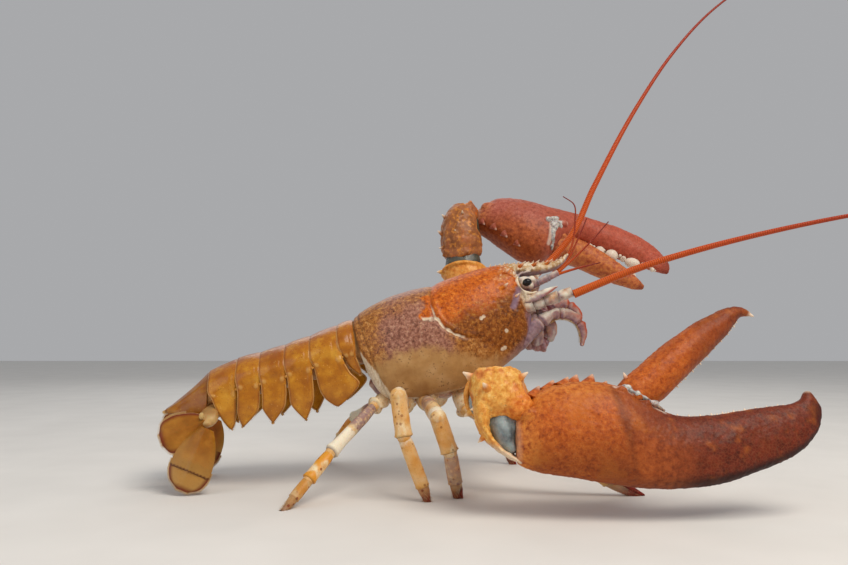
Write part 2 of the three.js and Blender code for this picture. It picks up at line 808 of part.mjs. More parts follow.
for (const [side, sign] of Object.entries(SIDES)) {
  addNode(`maxilliped_${side}`, PALE_SHELL, [bodyLimb(MAXILLIPED[side], sign, 7, [0.5, 0.8], [1, 0, 0.4])], {
    clearOf: ["carapace", "sternum", "mouthparts", `antenna_base_${side}`, `antenna_scale_${side}`],
  });
}

// A claw's frame: origin at the wrist, with directions along it, up in its plane and out of its face
function clawFrame(origin, slope, tilt, sign, yaw = 0) {
  const along = point(
    Math.cos(radians(slope)) * Math.cos(radians(yaw)),
    Math.sin(radians(yaw)),
    Math.sin(radians(slope)),
  ).normalize();
  const lean = point(0, Math.sin(radians(tilt)), Math.cos(radians(tilt)));
  const face = along.clone().cross(lean).normalize();
  const up = face.clone().cross(along).normalize();
  const at = (l, u, n = 0) =>
    point(...origin).addScaledVector(along, l).addScaledVector(up, u).addScaledVector(face, n);
  return { at, sign };
}

// The palm with its fixed finger: rows are along, upper edge, lower edge and half thickness.
const CUTTER_PALM = [
  [-2, 9, -12, 7],
  [3, 15, -14.4, 10.4],
  [9, 22, -16, 12.4],
  [18, 26, -17.6, 14],
  [30, 27.7, -19.2, 15],
  [42, 27.2, -21.2, 15],
  [52, 24.2, -22.8, 14.2],
  [60, 19.4, -23.5, 13],
  [67, 14.6, -23.7, 12],
  [74, 11.4, -23.5, 11],
  [86, 10.6, -22.4, 9.8],
  [100, 12.2, -19.6, 8.4],
  [113, 14.2, -15.2, 7.2],
  [124, 15.6, -11, 6.2],
  [133, 17.2, -6.4, 5.2],
  [139, 19.6, -2, 4.2],
  [142.6, 23.6, 1.4, 3.4],
  [145, 22.2, 5, 2.7],
  [147.4, 17.4, 10.4, 1.4],
];
const CUTTER_FINGER = [
  [52, 17.4, 6.6, 6.6],
  [57, 21.4, 9, 8.4],
  [64.6, 26.4, 9.9, 9],
  [74.2, 34.6, 9.7, 9],
  [82, 41, 9.3, 8.6],
  [90, 47.3, 8.7, 8],
  [97.5, 53.5, 7.8, 7.2],
  [104.3, 58, 6.6, 6],
  [111.4, 63.2, 4.9, 4.6],
  [116.4, 65.6, 3.1, 3.1],
  [121, 65.2, 1.8, 1.8],
  [124, 63.6, 0.8, 0.8],
];
const CRUSHER_PALM = [
  [-2, 10, -7, 7.5],
  [4, 17, -8, 11],
  [9, 21.4, -9.4, 13.6],
  [16, 24, -13, 15.8],
  [24, 25.6, -17, 17.4],
  [36, 26, -22, 18.4],
  [45, 25.6, -23.4, 18],
  [52, 25.3, -21, 17],
  [57, 25.2, -14, 15.8],
  [63, 25, -5.5, 14.4],
  [69, 24.8, 0.8, 13.4],
  [78, 24.5, 2.6, 12.4],
  [90, 23.8, 1, 11.4],
  [104, 22.8, -0.8, 10.2],
  [117, 20.6, -3, 8.8],
  [129, 15.6, -5.2, 6.8],
  [138, 9.4, -6, 4.6],
  [144, 2.4, -6.2, 2.6],
];
const CRUSHER_FINGER = [
  [58, -6, 8.6, 9],
  [66, -6.4, 10.2, 10.6],
  [75, -7, 10, 10.6],
  [86, -10.4, 9.6, 10],
  [97, -14.2, 8.6, 9],
  [107, -17.6, 7, 7.6],
  [116, -20.6, 5.2, 5.6],
  [122, -22.6, 3.6, 3.8],
  [125.6, -23.6, 1.8, 2.2],
];

function palm(frame, rows) {
  return loft(
    14,
    rows.length,
    (ring, angle) => {
      const [along, upper, lower, thick] = rows[ring];
      const high = (upper + lower) / 2 + ((upper - lower) / 2) * signedPower(Math.sin(angle), 0.95);
      return frame.at(along, high, thick * signedPower(Math.cos(angle), 0.9));
    },
    [1, 1],
  );
}

// The movable finger is a limb whose centre line lies in the claw's plane.
function finger(frame, rows) {
  const up = frame.at(0, 1).sub(frame.at(0, 0));
  return limb(
    rows.map(([along, high, halfHigh, halfThick]) => [frame.at(along, high), halfHigh, halfThick]),
    [up.x, up.y, up.z],
    10,
    [1, 0.9],
  );
}

// Teeth of the cutter: a row of small cones on the edges that face each other
const CUTTER_TEETH = 9;
function cutterTeeth(frame, edge, direction) {
  const teeth = [];
  for (let k = 0; k < CUTTER_TEETH; k++) {
    const [along, high] = edge(k / (CUTTER_TEETH - 1));
    const size = k % 3 === 1 ? 2.9 : 2;
    const root = frame.at(along - direction[0] * 1.2, high - direction[1] * 1.2);
    const tip = frame.at(along + direction[0] * size, high + direction[1] * size);
    teeth.push(spine(root, tip, 1.7, 4));
  }
  return teeth;
}

const cutter = clawFrame([46.4, -92, 37.6], 0, 20, -1);
const cutterPalmEdge = (share) => {
  const along = 78 + share * 54;
  return [along, blendRows(CUTTER_PALM, along)[1]];
};
const cutterFingerEdge = (share) => {
  const along = 74 + share * 36;
  const [, high, half] = blendRows(CUTTER_FINGER, along);
  return [along + half * 0.62, high - half * 0.76];
};

// Spines on the upper edge of each palm and on each wrist: along and up of the root, then out, and the length
const PALM_SPINES = {
  right: [
    [8.6, 21, 0, 2.4],
    [16, 25, -2, 2.6],
    [23, 26.8, 2, 3],
    [30, 27.5, -1.6, 3.2],
    [39, 27, 1, 3],
  ],
  left: [
    [14, -11, 6, 3],
    [25, -16.4, 7, 3],
    [36, -21, 5, 3],
    [8, 20, 4, 3],
  ],
};
function palmSpines(frame, list) {
  return list.map(([along, high, out, length]) => {
    const away = Math.sign(high) * length;
    return spine(frame.at(along - 0.8, high - Math.sign(high) * 1.4, out), frame.at(along + 1.6, high + away, out), 2.1);
  });
}

const crusher = clawFrame([39.7, 85, 173], -13.5, 28, 1);
// Molars of the crusher: along, radius and how far each stands out of the fixed finger's lower edge
const MOLARS = [
  [77, 2.2, 1],
  [84, 2.8, 1],
  [92, 3.6, 1],
  [101, 4.2, 1.1],
  [110, 2.2, 1],
  [117, 3.6, 1.5],
  [126, 1.6, 1],
  [132, 1.6, 1],
];
const molars = MOLARS.map(([along, radius, long]) => {
  const edge = blendRows(CRUSHER_PALM, along)[2];
  return knob(crusher.at(along, edge - radius * 0.15, -1.5), radius, [long, 1, 1]);
});
const crusherFingerTeeth = [80, 89, 98, 107, 115].map((along, k) => {
  const [, high, half] = blendRows(CRUSHER_FINGER, along);
  return knob(crusher.at(along + half * 0.3, high + half * 0.88, -1), k % 2 ? 2.6 : 2);
});

// The arms: shoulder to elbow is one node and the wrist piece is another. Points are in millimetres in the world.
const ARMS = {
  right: {
    shoulder: [point(38, -9, 62), point(43.5, -24, 53)],
    elbow: point(36.5, -76, 56.5),
    wrist: [point(36.5, -81, 65), point(40, -89, 31)],
    wristSize: [16.4, 14],
    wristUp: [1, 0, 0.2],
    wristSpines: [
      [point(27, -88, 62), point(23.4, -96, 64.6)],
      [point(46, -88, 62), point(49.6, -95, 66)],
      [point(26, -84, 47), point(20.4, -87, 45)],
      [point(28, -88, 36), point(23.6, -93, 33.4)],
    ],
  },
  left: {
    shoulder: [point(38, 9, 62), point(42, 25, 66)],
    elbow: point(28, 63, 133),
    wrist: [point(27, 67, 142), point(25, 76, 180)],
    wristSize: [14, 15],
    wristUp: [1, 0.2, 0],
    wristSpines: [
      [point(14.6, 72, 160), point(9, 70, 162.6)],
      [point(18, 73, 176), point(13.6, 70, 181)],
      [point(28, 63, 172), point(28, 58, 176.6)],
      [point(16, 66, 148), point(11, 62, 147.6)],
    ],
  },
};
// Rows are a place along the arm, counted in joints from the shoulder, and two half sizes.
const ARM = [
  [0, 6.4, 6],
  [0.5, 8.4, 7.6],
  [0.95, 8.8, 7.8],
  [1.08, 9, 7.4],
  [1.3, 10.4, 8],
  [1.6, 12.4, 9.6],
  [1.86, 14.6, 11.4],
  [1.97, 13.8, 10.8],
];
const WRIST_PROFILE = [
  [-0.22, 0.6],
  [0.02, 0.88],
  [0.3, 1.04],
  [0.62, 1.02],
  [0.9, 0.84],
  [1.06, 0.52],
];
const CLAWS = {
  right: { frame: cutter, palmRows: CUTTER_PALM, fingerRows: CUTTER_FINGER },
  left: { frame: crusher, palmRows: CRUSHER_PALM, fingerRows: CRUSHER_FINGER },
};
const PALM_TEETH = { right: cutterTeeth(cutter, cutterPalmEdge, [0, 1]), left: molars };
const FINGER_TEETH = {
  right: cutterTeeth(cutter, cutterFingerEdge, [0.64, -0.77]),
  left: crusherFingerTeeth,
};

for (const [side, sign] of Object.entries(SIDES)) {
  const arm = ARMS[side];
  const joints = [...arm.shoulder, arm.elbow];
  const armRows = ARM.map(([place, wide, thick]) => [pathPoint(joints, place), wide, thick]);
  const upper = [limb(armRows, [1, 0, 0.6], 10, [1, 2])];
  const rim = pathPoint(joints, 1.94);
  for (const [dx, dz] of [
    [-1, 0.55],
    [0.9, 0.7],
    [-0.9, -0.7],
  ])
    upper.push(
      spine(
        rim.clone().add(point(dx * 10, 0, dz * 9)),
        rim.clone().add(point(dx * 17, sign * 3, dz * 16)),
        2.4,
      ),
    );
  addNode(`claw_arm_${side}`, ORANGE_SHELL, upper, {
    clearOf: ["carapace", "sternum", "mouthparts", `maxilliped_${side}`],
  });
  const wrist = segment(arm.wrist[0], arm.wrist[1], arm.wristSize, WRIST_PROFILE, 12, arm.wristUp);
  const wristSpines = arm.wristSpines.map(([root, tip]) => spine(root, tip, 2.6));
  addNode(`claw_wrist_${side}`, ORANGE_SHELL, [wrist, ...wristSpines], {
    clearOf: [`claw_arm_${side}`],
  });
  const { frame, palmRows, fingerRows } = CLAWS[side];
  const palmPieces = [palm(frame, palmRows), ...PALM_TEETH[side], ...palmSpines(frame, PALM_SPINES[side])];
  addNode(`claw_palm_${side}`, CLAW_SHELL, palmPieces, { clearOf: [`claw_wrist_${side}`] });
  addNode(`claw_finger_${side}`, CLAW_SHELL, [finger(frame, fingerRows), ...FINGER_TEETH[side]], {
    clearOf: [`claw_palm_${side}`],
  });
}

// The walking legs, front pair first: base, hip, knee, ankle, claw joint and tip. Their thickness falls backwards.
const LEGS = {
  right: [
    [[20, -8, 55], [25, -19, 45], [56, -43, 34], [82, -45, 22], [101, -42, 8], [119.6, -40, -2]],
    [[5, -8, 54], [1, -20, 50], [7.6, -52, 43], [13.8, -53, 25], [16.8, -49.6, 8], [18, -47, -2]],
    [[-9, -8, 53], [-12, -20, 48], [-13.9, -57, 55.4], [-10.6, -60, 34], [-0.6, -57, 7.4], [2.4, -55.6, -2]],
    [[-20, -8, 53], [-29, -22, 47], [-50.2, -52, 24.8], [-60, -64, 12.6], [-66.4, -71.6, 4.6], [-71.4, -77, -2]],
  ],
  left: [
    [[20, 8, 57], [25, 22, 51], [64, 52, 51], [83, 57, 35], [103, 59, 14], [117, 60, -2]],
    [[5, 8, 54], [9, 22, 49], [30, 56, 60], [43, 60, 37], [55, 62, 14], [61, 62, -2]],
    [[-9, 8, 53], [-10, 22, 48], [-1, 56, 58], [8, 62, 34], [15, 65, 10], [18.6, 66, -2]],
    [[-21, 8, 53], [-27, 20, 47], [-48, 47, 33], [-58, 58, 19], [-67.5, 66.6, 5.6], [-73, 71, -2]],
  ],
};
const LEG_THICKNESS = [4.8, 4.7, 4.5, 3.6];
// Rows are a place along the leg, counted in joints from its base, and a share of its thickness.
const UPPER_LEG = [
  [0.1, 1.1],
  [0.5, 1.3],
  [0.88, 1.2],
  [1.03, 0.9],
  [1.15, 0.98],
  [1.5, 1],
  [1.86, 1.14],
  [1.99, 1],
];
const LOWER_LEG = [
  [1.96, 0.7],
  [2.16, 0.9],
  [2.5, 0.98],
  [2.88, 1.04],
  [2.99, 0.86],
  [3.12, 0.9],
  [3.6, 0.94],
  [3.92, 0.84],
  [4.02, 0.68],
  [4.3, 0.68],
  [5, 0.46],
];
function pathPoint(joints, place) {
  const k = Math.min(joints.length - 2, Math.floor(place));
  return joints[k].clone().lerp(joints[k + 1], place - k);
}
const below = new THREE.BoxGeometry(400, 300, FLOOR_DEPTH).translate(0, 0, -FLOOR_DEPTH / 2);
const floorCutter = solidOf(below).solid;

for (const [side, legs] of Object.entries(LEGS))
  legs.forEach((corners, k) => {
    const joints = corners.map((p) => point(...p));
    const t = LEG_THICKNESS[k];
    const name = `leg_${k + 1}`;
    const leg = (rows, up) =>
      limb(
        rows.map(([place, scale]) => [pathPoint(joints, place), t * scale, t * scale * 0.9]),
        up,
        6,
        [0.6, 0.6],
      );
    const before = k === 0 ? `claw_arm_${side}` : `leg_${k}_upper_${side}`;
    const clearOf = ["carapace", "sternum", before];
    addNode(`${name}_upper_${side}`, LEG_SHELL, [leg(UPPER_LEG, [0.1, 0, 1])], { clearOf });
    addNode(`${name}_lower_${side}`, LEG_SHELL, [leg(LOWER_LEG, [1, 0, 0.1])], {
      clearOf: [`${name}_upper_${side}`],
      carve: [floorCutter],
    });
  });

// The origin is the middle of the whole animal's box, on the floor.
const box = new THREE.Box3().setFromObject(lobster);
const middle = box.getCenter(point(0, 0, 0));
lobster.position.set(-middle.x, -middle.y, -box.min.z);
lobster.updateMatrixWorld(true);

export default lobster;
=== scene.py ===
import math
from itertools import product
from types import SimpleNamespace

import bpy
import numpy as np
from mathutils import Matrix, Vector


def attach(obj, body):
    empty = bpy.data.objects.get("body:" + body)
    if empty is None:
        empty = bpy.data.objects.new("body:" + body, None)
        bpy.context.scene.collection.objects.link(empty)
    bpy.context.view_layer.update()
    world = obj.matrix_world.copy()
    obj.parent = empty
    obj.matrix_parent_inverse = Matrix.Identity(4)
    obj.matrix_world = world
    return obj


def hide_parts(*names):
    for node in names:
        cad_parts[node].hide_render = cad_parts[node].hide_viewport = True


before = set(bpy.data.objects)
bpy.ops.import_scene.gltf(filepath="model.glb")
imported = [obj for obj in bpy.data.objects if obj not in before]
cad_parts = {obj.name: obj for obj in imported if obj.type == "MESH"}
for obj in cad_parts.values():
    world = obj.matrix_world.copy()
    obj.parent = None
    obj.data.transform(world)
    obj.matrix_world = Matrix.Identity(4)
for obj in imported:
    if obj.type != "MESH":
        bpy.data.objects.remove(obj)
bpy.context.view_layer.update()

MM = 0.001
SHIFT = np.array([-87.5413, 0.8423, 0.0])
SIDES = {"right": -1, "left": 1}


# Curves, noise and vectors


def spline(knots, values, at):
    """Values at places along the knots, on one smooth curve through them all"""
    knots = np.asarray(knots, float)
    values = np.asarray(values, float).reshape(len(knots), -1)
    at = np.clip(np.asarray(at, float), knots[0], knots[-1])
    steps = np.diff(knots)[:, None]
    slopes = np.diff(values, axis=0) / steps
    inner = (slopes[:-1] * steps[1:] + slopes[1:] * steps[:-1]) / (steps[:-1] + steps[1:])
    tangents = np.vstack([slopes[:1], inner, slopes[-1:]])
    k = np.clip(np.searchsorted(knots, at, side="right") - 1, 0, len(knots) - 2)
    h = steps[k]
    t = (at - knots[k])[..., None] / h
    start = values[k] * (1 - 3 * t**2 + 2 * t**3) + tangents[k] * h * (t - 2 * t**2 + t**3)
    return start + values[k + 1] * (3 * t**2 - 2 * t**3) + tangents[k + 1] * h * (t**3 - t**2)


def column(table, at, index):
    """One column of a table, at places along its first column"""
    table = np.asarray(table, float)
    return spline(table[:, 0], table[:, index], at)[..., 0]


def value_at(table, at, index):
    return float(column(table, at, index))


def clamp(value):
    return np.clip(value, 0, 1)


def smooth(low, high, value):
    """0 below low, 1 above high and smooth between them. Low may be the larger one."""
    t = clamp((value - low) / (high - low))
    return t * t * (3 - 2 * t)


def bell(value, width):
    """1 where the value is 0, falling to 0 on both sides"""
    return np.exp(-((value / width) ** 2))


def circle(count):
    """The cosines and sines of angles spread evenly round a circle"""
    angle = np.arange(count) / count * 2 * math.pi
    return np.cos(angle), np.sin(angle)


def signed_power(value, power):
    return np.sign(value) * np.abs(value) ** power


def unit(vectors):
    return vectors / np.maximum(np.linalg.norm(vectors, axis=-1, keepdims=True), 1e-9)


def scatter(cells):
    """A number from 0 to 1 for each whole-numbered cell, always the same for the same cell"""
    mixed = cells[..., 0] * 73856093 ^ cells[..., 1] * 19349663 ^ cells[..., 2] * 83492791
    mixed = (mixed & 0x7FFFFFFF) * 48271 % 2147483647
    return (mixed * 16807 % 2147483647) / 2147483647


def noise(points, size, seed=0):
    """Smooth noise from -1 to 1 with features of about that size"""
    place = points / size + 37 * seed + 1000
    cell = np.floor(place).astype(np.int64)
    part = place - cell
    part = part * part * (3 - 2 * part)
    total = 0
    for corner in product((0, 1), repeat=3):
        weight = np.prod(np.where(corner, part, 1 - part), axis=-1)
        total = total + weight * (2 * scatter(cell + np.array(corner)) - 1)
    return total


def grains(points, size, seed=0):
    """1 at the middle of scattered grains of that spacing, falling to 0 between them"""
    place = points / size + 37 * seed + 1000
    cell = np.floor(place).astype(np.int64)
    nearest = np.full(len(points), 9.0)
    for corner in product((-1, 0, 1), repeat=3):
        near = cell + np.array(corner)
        middle = near + np.stack([scatter(near + 1000 * (k + 1)) for k in range(3)], -1)
        nearest = np.minimum(nearest, np.linalg.norm(place - middle, axis=1))
    return clamp(1 - nearest / 0.55)


def line_distance(points, path):
    """How far each point is from a line through several points"""
    nearest = np.full(len(points), 1e9)
    for a, b in zip(path[:-1], path[1:]):
        span = b - a
        share = clamp((points - a) @ span / (span @ span))
        nearest = np.minimum(nearest, np.linalg.norm(points - a - share[:, None] * span, axis=1))
    return nearest


# Skins: meshes in the making


class Skin:
    """Points in millimetres, faces, and marks: named numbers, one per point, that the materials read"""

    def __init__(self, points, faces, **marks):
        self.points = np.asarray(points, float)
        self.faces = faces
        self.marks = {}
        self.mark(**marks)

    def mark(self, **marks):
        for name, value in marks.items():
            self.marks[name] = np.broadcast_to(value, len(self.points)).astype(float)
        return self

    def normals(self):
        out = np.zeros_like(self.points)
        for count in (3, 4):
            faces = np.array([f for f in self.faces if len(f) == count])
            if len(faces):
                corners = self.points[faces]
                face = np.cross(corners[:, 2] - corners[:, 0], corners[:, -1] - corners[:, 1])
                for k in range(count):
                    np.add.at(out, faces[:, k], face)
        return unit(out)

    def push(self, amount):
        """Moves every point out along its normal."""
        self.points = self.points + self.normals() * np.asarray(amount)[:, None]
        return self

    def rough(self, *layers):
        """Pushes points in and out by layers of noise, each with a height, a size and a seed."""
        return self.push(sum(height * noise(self.points, *shape) for height, *shape in layers))

    def turned(self, facing):
        """Flips every face if the skin faces the wrong way."""
        if facing < 0:
            self.faces = [face[::-1] for face in self.faces]
        return self


def joined(skins):
    faces, start = [], 0
    for skin in skins:
        faces += [[k + start for k in face] for face in skin.faces]
        start += len(skin.points)
    marks = {}
    for name in sorted({name for skin in skins for name in skin.marks}):
        marks[name] = np.concatenate([skin.marks.get(name, np.zeros(len(skin.points))) for skin in skins])
    return Skin(np.concatenate([skin.points for skin in skins]), faces, **marks)


def lattice(points, around=True, poles=(), **marks):
    """A skin over rows of points. Two poles close its ends."""
    rings, sides = points.shape[:2]
    index = np.arange(rings * sides).reshape(rings, sides)
    wide = np.hstack([index, index[:, :1]]) if around else index
    corners = [wide[:-1, :-1], wide[:-1, 1:], wide[1:, 1:], wide[1:, :-1]]
    faces = np.stack(corners, -1).reshape(-1, 4).tolist()
    flat = points.reshape(-1, 3)
    marks = {name: np.broadcast_to(value, (rings, sides)).astype(float) for name, value in marks.items()}
    ends = {name: [value[0].mean(), value[-1].mean()] if len(poles) else [] for name, value in marks.items()}
    for end, pole in enumerate(poles):
        tip = len(flat)
        flat = np.vstack([flat, pole])
        ring = wide[-end]
        for a, b in zip(ring[:-1].tolist(), ring[1:].tolist()):
            faces.append([tip, a, b] if end else [tip, b, a])
    skin = Skin(flat, faces, **{name: np.append(value.ravel(), ends[name]) for name, value in marks.items()})
    return skin.turned((skin.normals() * (flat - flat.mean(0))).sum() if len(poles) else 1)


def limb(rows, up=(0, 0, 1), rings=40, sides=24, ends=(0.5, 0.5), caps=6, power=1.0):
    """A rounded limb, marked with its share. Rows have x, y, z and the half sizes towards up and across."""
    rows = np.asarray(rows, float)
    if rows.shape[1] == 4:
        rows = np.hstack([rows, rows[:, 3:]])
    chord = np.append(0, np.cumsum(np.linalg.norm(np.diff(rows[:, :3], axis=0), axis=1)))
    line = spline(chord, rows, np.linspace(0, chord[-1], rings))
    centre, half = line[:, :3], np.abs(line[:, 3:])
    along = unit(np.gradient(centre, axis=0))
    across = unit(np.cross(along, up))
    high = np.cross(across, along)
    theta = np.linspace(0, math.pi / 2, caps + 1)[1:-1]
    source = np.r_[np.zeros(caps - 1, int), np.arange(rings), np.full(caps - 1, rings - 1)]
    offset = np.r_[-ends[0] * np.sin(theta[::-1]), np.zeros(rings), ends[1] * np.sin(theta)]
    size = np.r_[np.cos(theta[::-1]), np.ones(rings), np.cos(theta)]
    c, s = (signed_power(share, power)[None, :, None] for share in circle(sides))
    lift = s * (half[source, 0] * size)[:, None, None]
    reach = c * (half[source, 1] * size)[:, None, None]
    middle = centre[source] + along[source] * offset[:, None]
    points = middle[:, None] + high[source][:, None] * lift + across[source][:, None] * reach
    poles = [centre[0] - along[0] * ends[0], centre[-1] + along[-1] * ends[1]]
    share = np.r_[np.zeros(caps - 1), np.linspace(0, 1, rings), np.ones(caps - 1)]
    return lattice(points, poles=poles, share=share[:, None])


def tapered(a, b, stops, *sizes):
    """Rows of a straight limb. Each stop is a share of the way from a to b and a share of the sizes."""
    return [[*(a + (b - a) * share), *(size * width for size in sizes)] for share, width in stops]


def spine(root, tip, radius, sides=10):
    """A thorn with a flared root and a pale tip"""
    root, tip = np.asarray(root, float), np.asarray(tip, float)
    shares = np.array([-0.18, 0.02, 0.25, 0.5, 0.75, 0.95])
    widths = np.array([1.5, 1.16, 0.88, 0.62, 0.36, 0.13]) * radius
    rows = np.column_stack([root + shares[:, None] * (tip - root), widths, widths])
    up = (1, 0, 0.1) if abs((tip - root)[2]) > abs((tip - root)[0]) else (0, 0.1, 1)
    skin = limb(rows, up, 14, sides, (0.1, 0.12), 3)
    return skin.mark(tip=smooth(0.55, 0.95, skin.marks["share"]))


def ball(centre, size, rings=14, sides=20, axes=np.eye(3)):
    """An oval ball with half sizes along three axes"""
    size = np.broadcast_to(np.asarray(size, float), 3)
    theta = np.linspace(0, math.pi, rings + 2)[1:-1, None]
    c, s = circle(sides)
    shape = np.stack([np.cos(theta) + 0 * c, np.sin(theta) * c, np.sin(theta) * s], -1)
    points = np.asarray(centre) + (shape * size) @ axes
    poles = np.asarray(centre) + (np.array([[1, 0, 0], [-1, 0, 0]]) * size) @ axes
    return lattice(points, poles=poles)


def hairs(roots, directions, length, width=0.13):
    """Fine stiff hairs from each root"""
    directions = unit(np.asarray(directions, float))
    side = unit(np.cross(directions, [0.31, 0.52, 0.79]))
    other = np.cross(directions, side)
    length = np.broadcast_to(length, len(roots))[:, None]
    rings = [roots - directions * 0.4, roots + directions * length * 0.55, roots + directions * length]
    points, faces = [], []
    for k, (ring, scale) in enumerate(zip(rings[:2], (1, 0.7))):
        for turn in range(3):
            a = turn * 2 * math.pi / 3
            points.append(ring + (side * math.cos(a) + other * math.sin(a)) * width * scale)
    points.append(rings[2])
    count = len(roots)
    points = np.concatenate(points)
    for i in range(count):
        low = [i + count * k for k in range(3)]
        high = [i + count * (k + 3) for k in range(3)]
        tip = i + count * 6
        for k in range(3):
            n = (k + 1) % 3
            faces += [[low[k], low[n], high[n], high[k]], [high[k], high[n], tip]]
        faces.append([low[2], low[1], low[0]])
    return Skin(points, faces, share=np.repeat([0, 0.6, 1], [3 * count, 3 * count, count]))


def fuse(skins, voxel=0.6, rounds=3):
    """One closed skin round several, as if they were modelled from one piece of clay"""
    whole = joined(skins)
    mesh = bpy.data.meshes.new("clay")
    mesh.from_pydata(whole.points.tolist(), [], whole.faces)
    clay = bpy.data.objects.new("clay", mesh)
    bpy.context.scene.collection.objects.link(clay)
    remesh = clay.modifiers.new("remesh", "REMESH")
    remesh.mode = "VOXEL"
    remesh.voxel_size = voxel
    relax = clay.modifiers.new("relax", "SMOOTH")
    relax.factor = 0.5
    relax.iterations = rounds
    made = clay.evaluated_get(bpy.context.evaluated_depsgraph_get()).to_mesh()
    points = np.empty(len(made.vertices) * 3)
    made.vertices.foreach_get("co", points)
    faces = [list(polygon.vertices) for polygon in made.polygons]
    skin = Skin(points.reshape(-1, 3), faces)
    bpy.data.objects.remove(clay)
    bpy.data.meshes.remove(mesh)
    return skin


def piece(name, skin, material, slot, *nodes):
    """Turns a skin into a piece of the scene that stands for those CAD nodes."""
    mesh = bpy.data.meshes.new(name)
    mesh.from_pydata(((skin.points + SHIFT) * MM).tolist(), [], skin.faces)
    mesh.validate()
    for mark, values in skin.marks.items():
        mesh.attributes.new(mark, "FLOAT", "POINT").data.foreach_set("value", values)
    mesh.polygons.foreach_set("use_smooth", [True] * len(mesh.polygons))
    mesh.materials.append(material)
    thing = bpy.data.objects.new(name, mesh)
    bpy.context.scene.collection.objects.link(thing)
    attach(thing, "root")
    if nodes:
        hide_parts(*nodes)
    return thing


# Materials


def colour(code):
    """A hex colour as the linear red, green, blue and alpha that a shader takes"""
    parts = [int(code[k : k + 2], 16) / 255 for k in (1, 3, 5)]
    return tuple(p / 12.92 if p <= 0.04045 else ((p + 0.055) / 1.055) ** 2.4 for p in parts) + (1.0,)


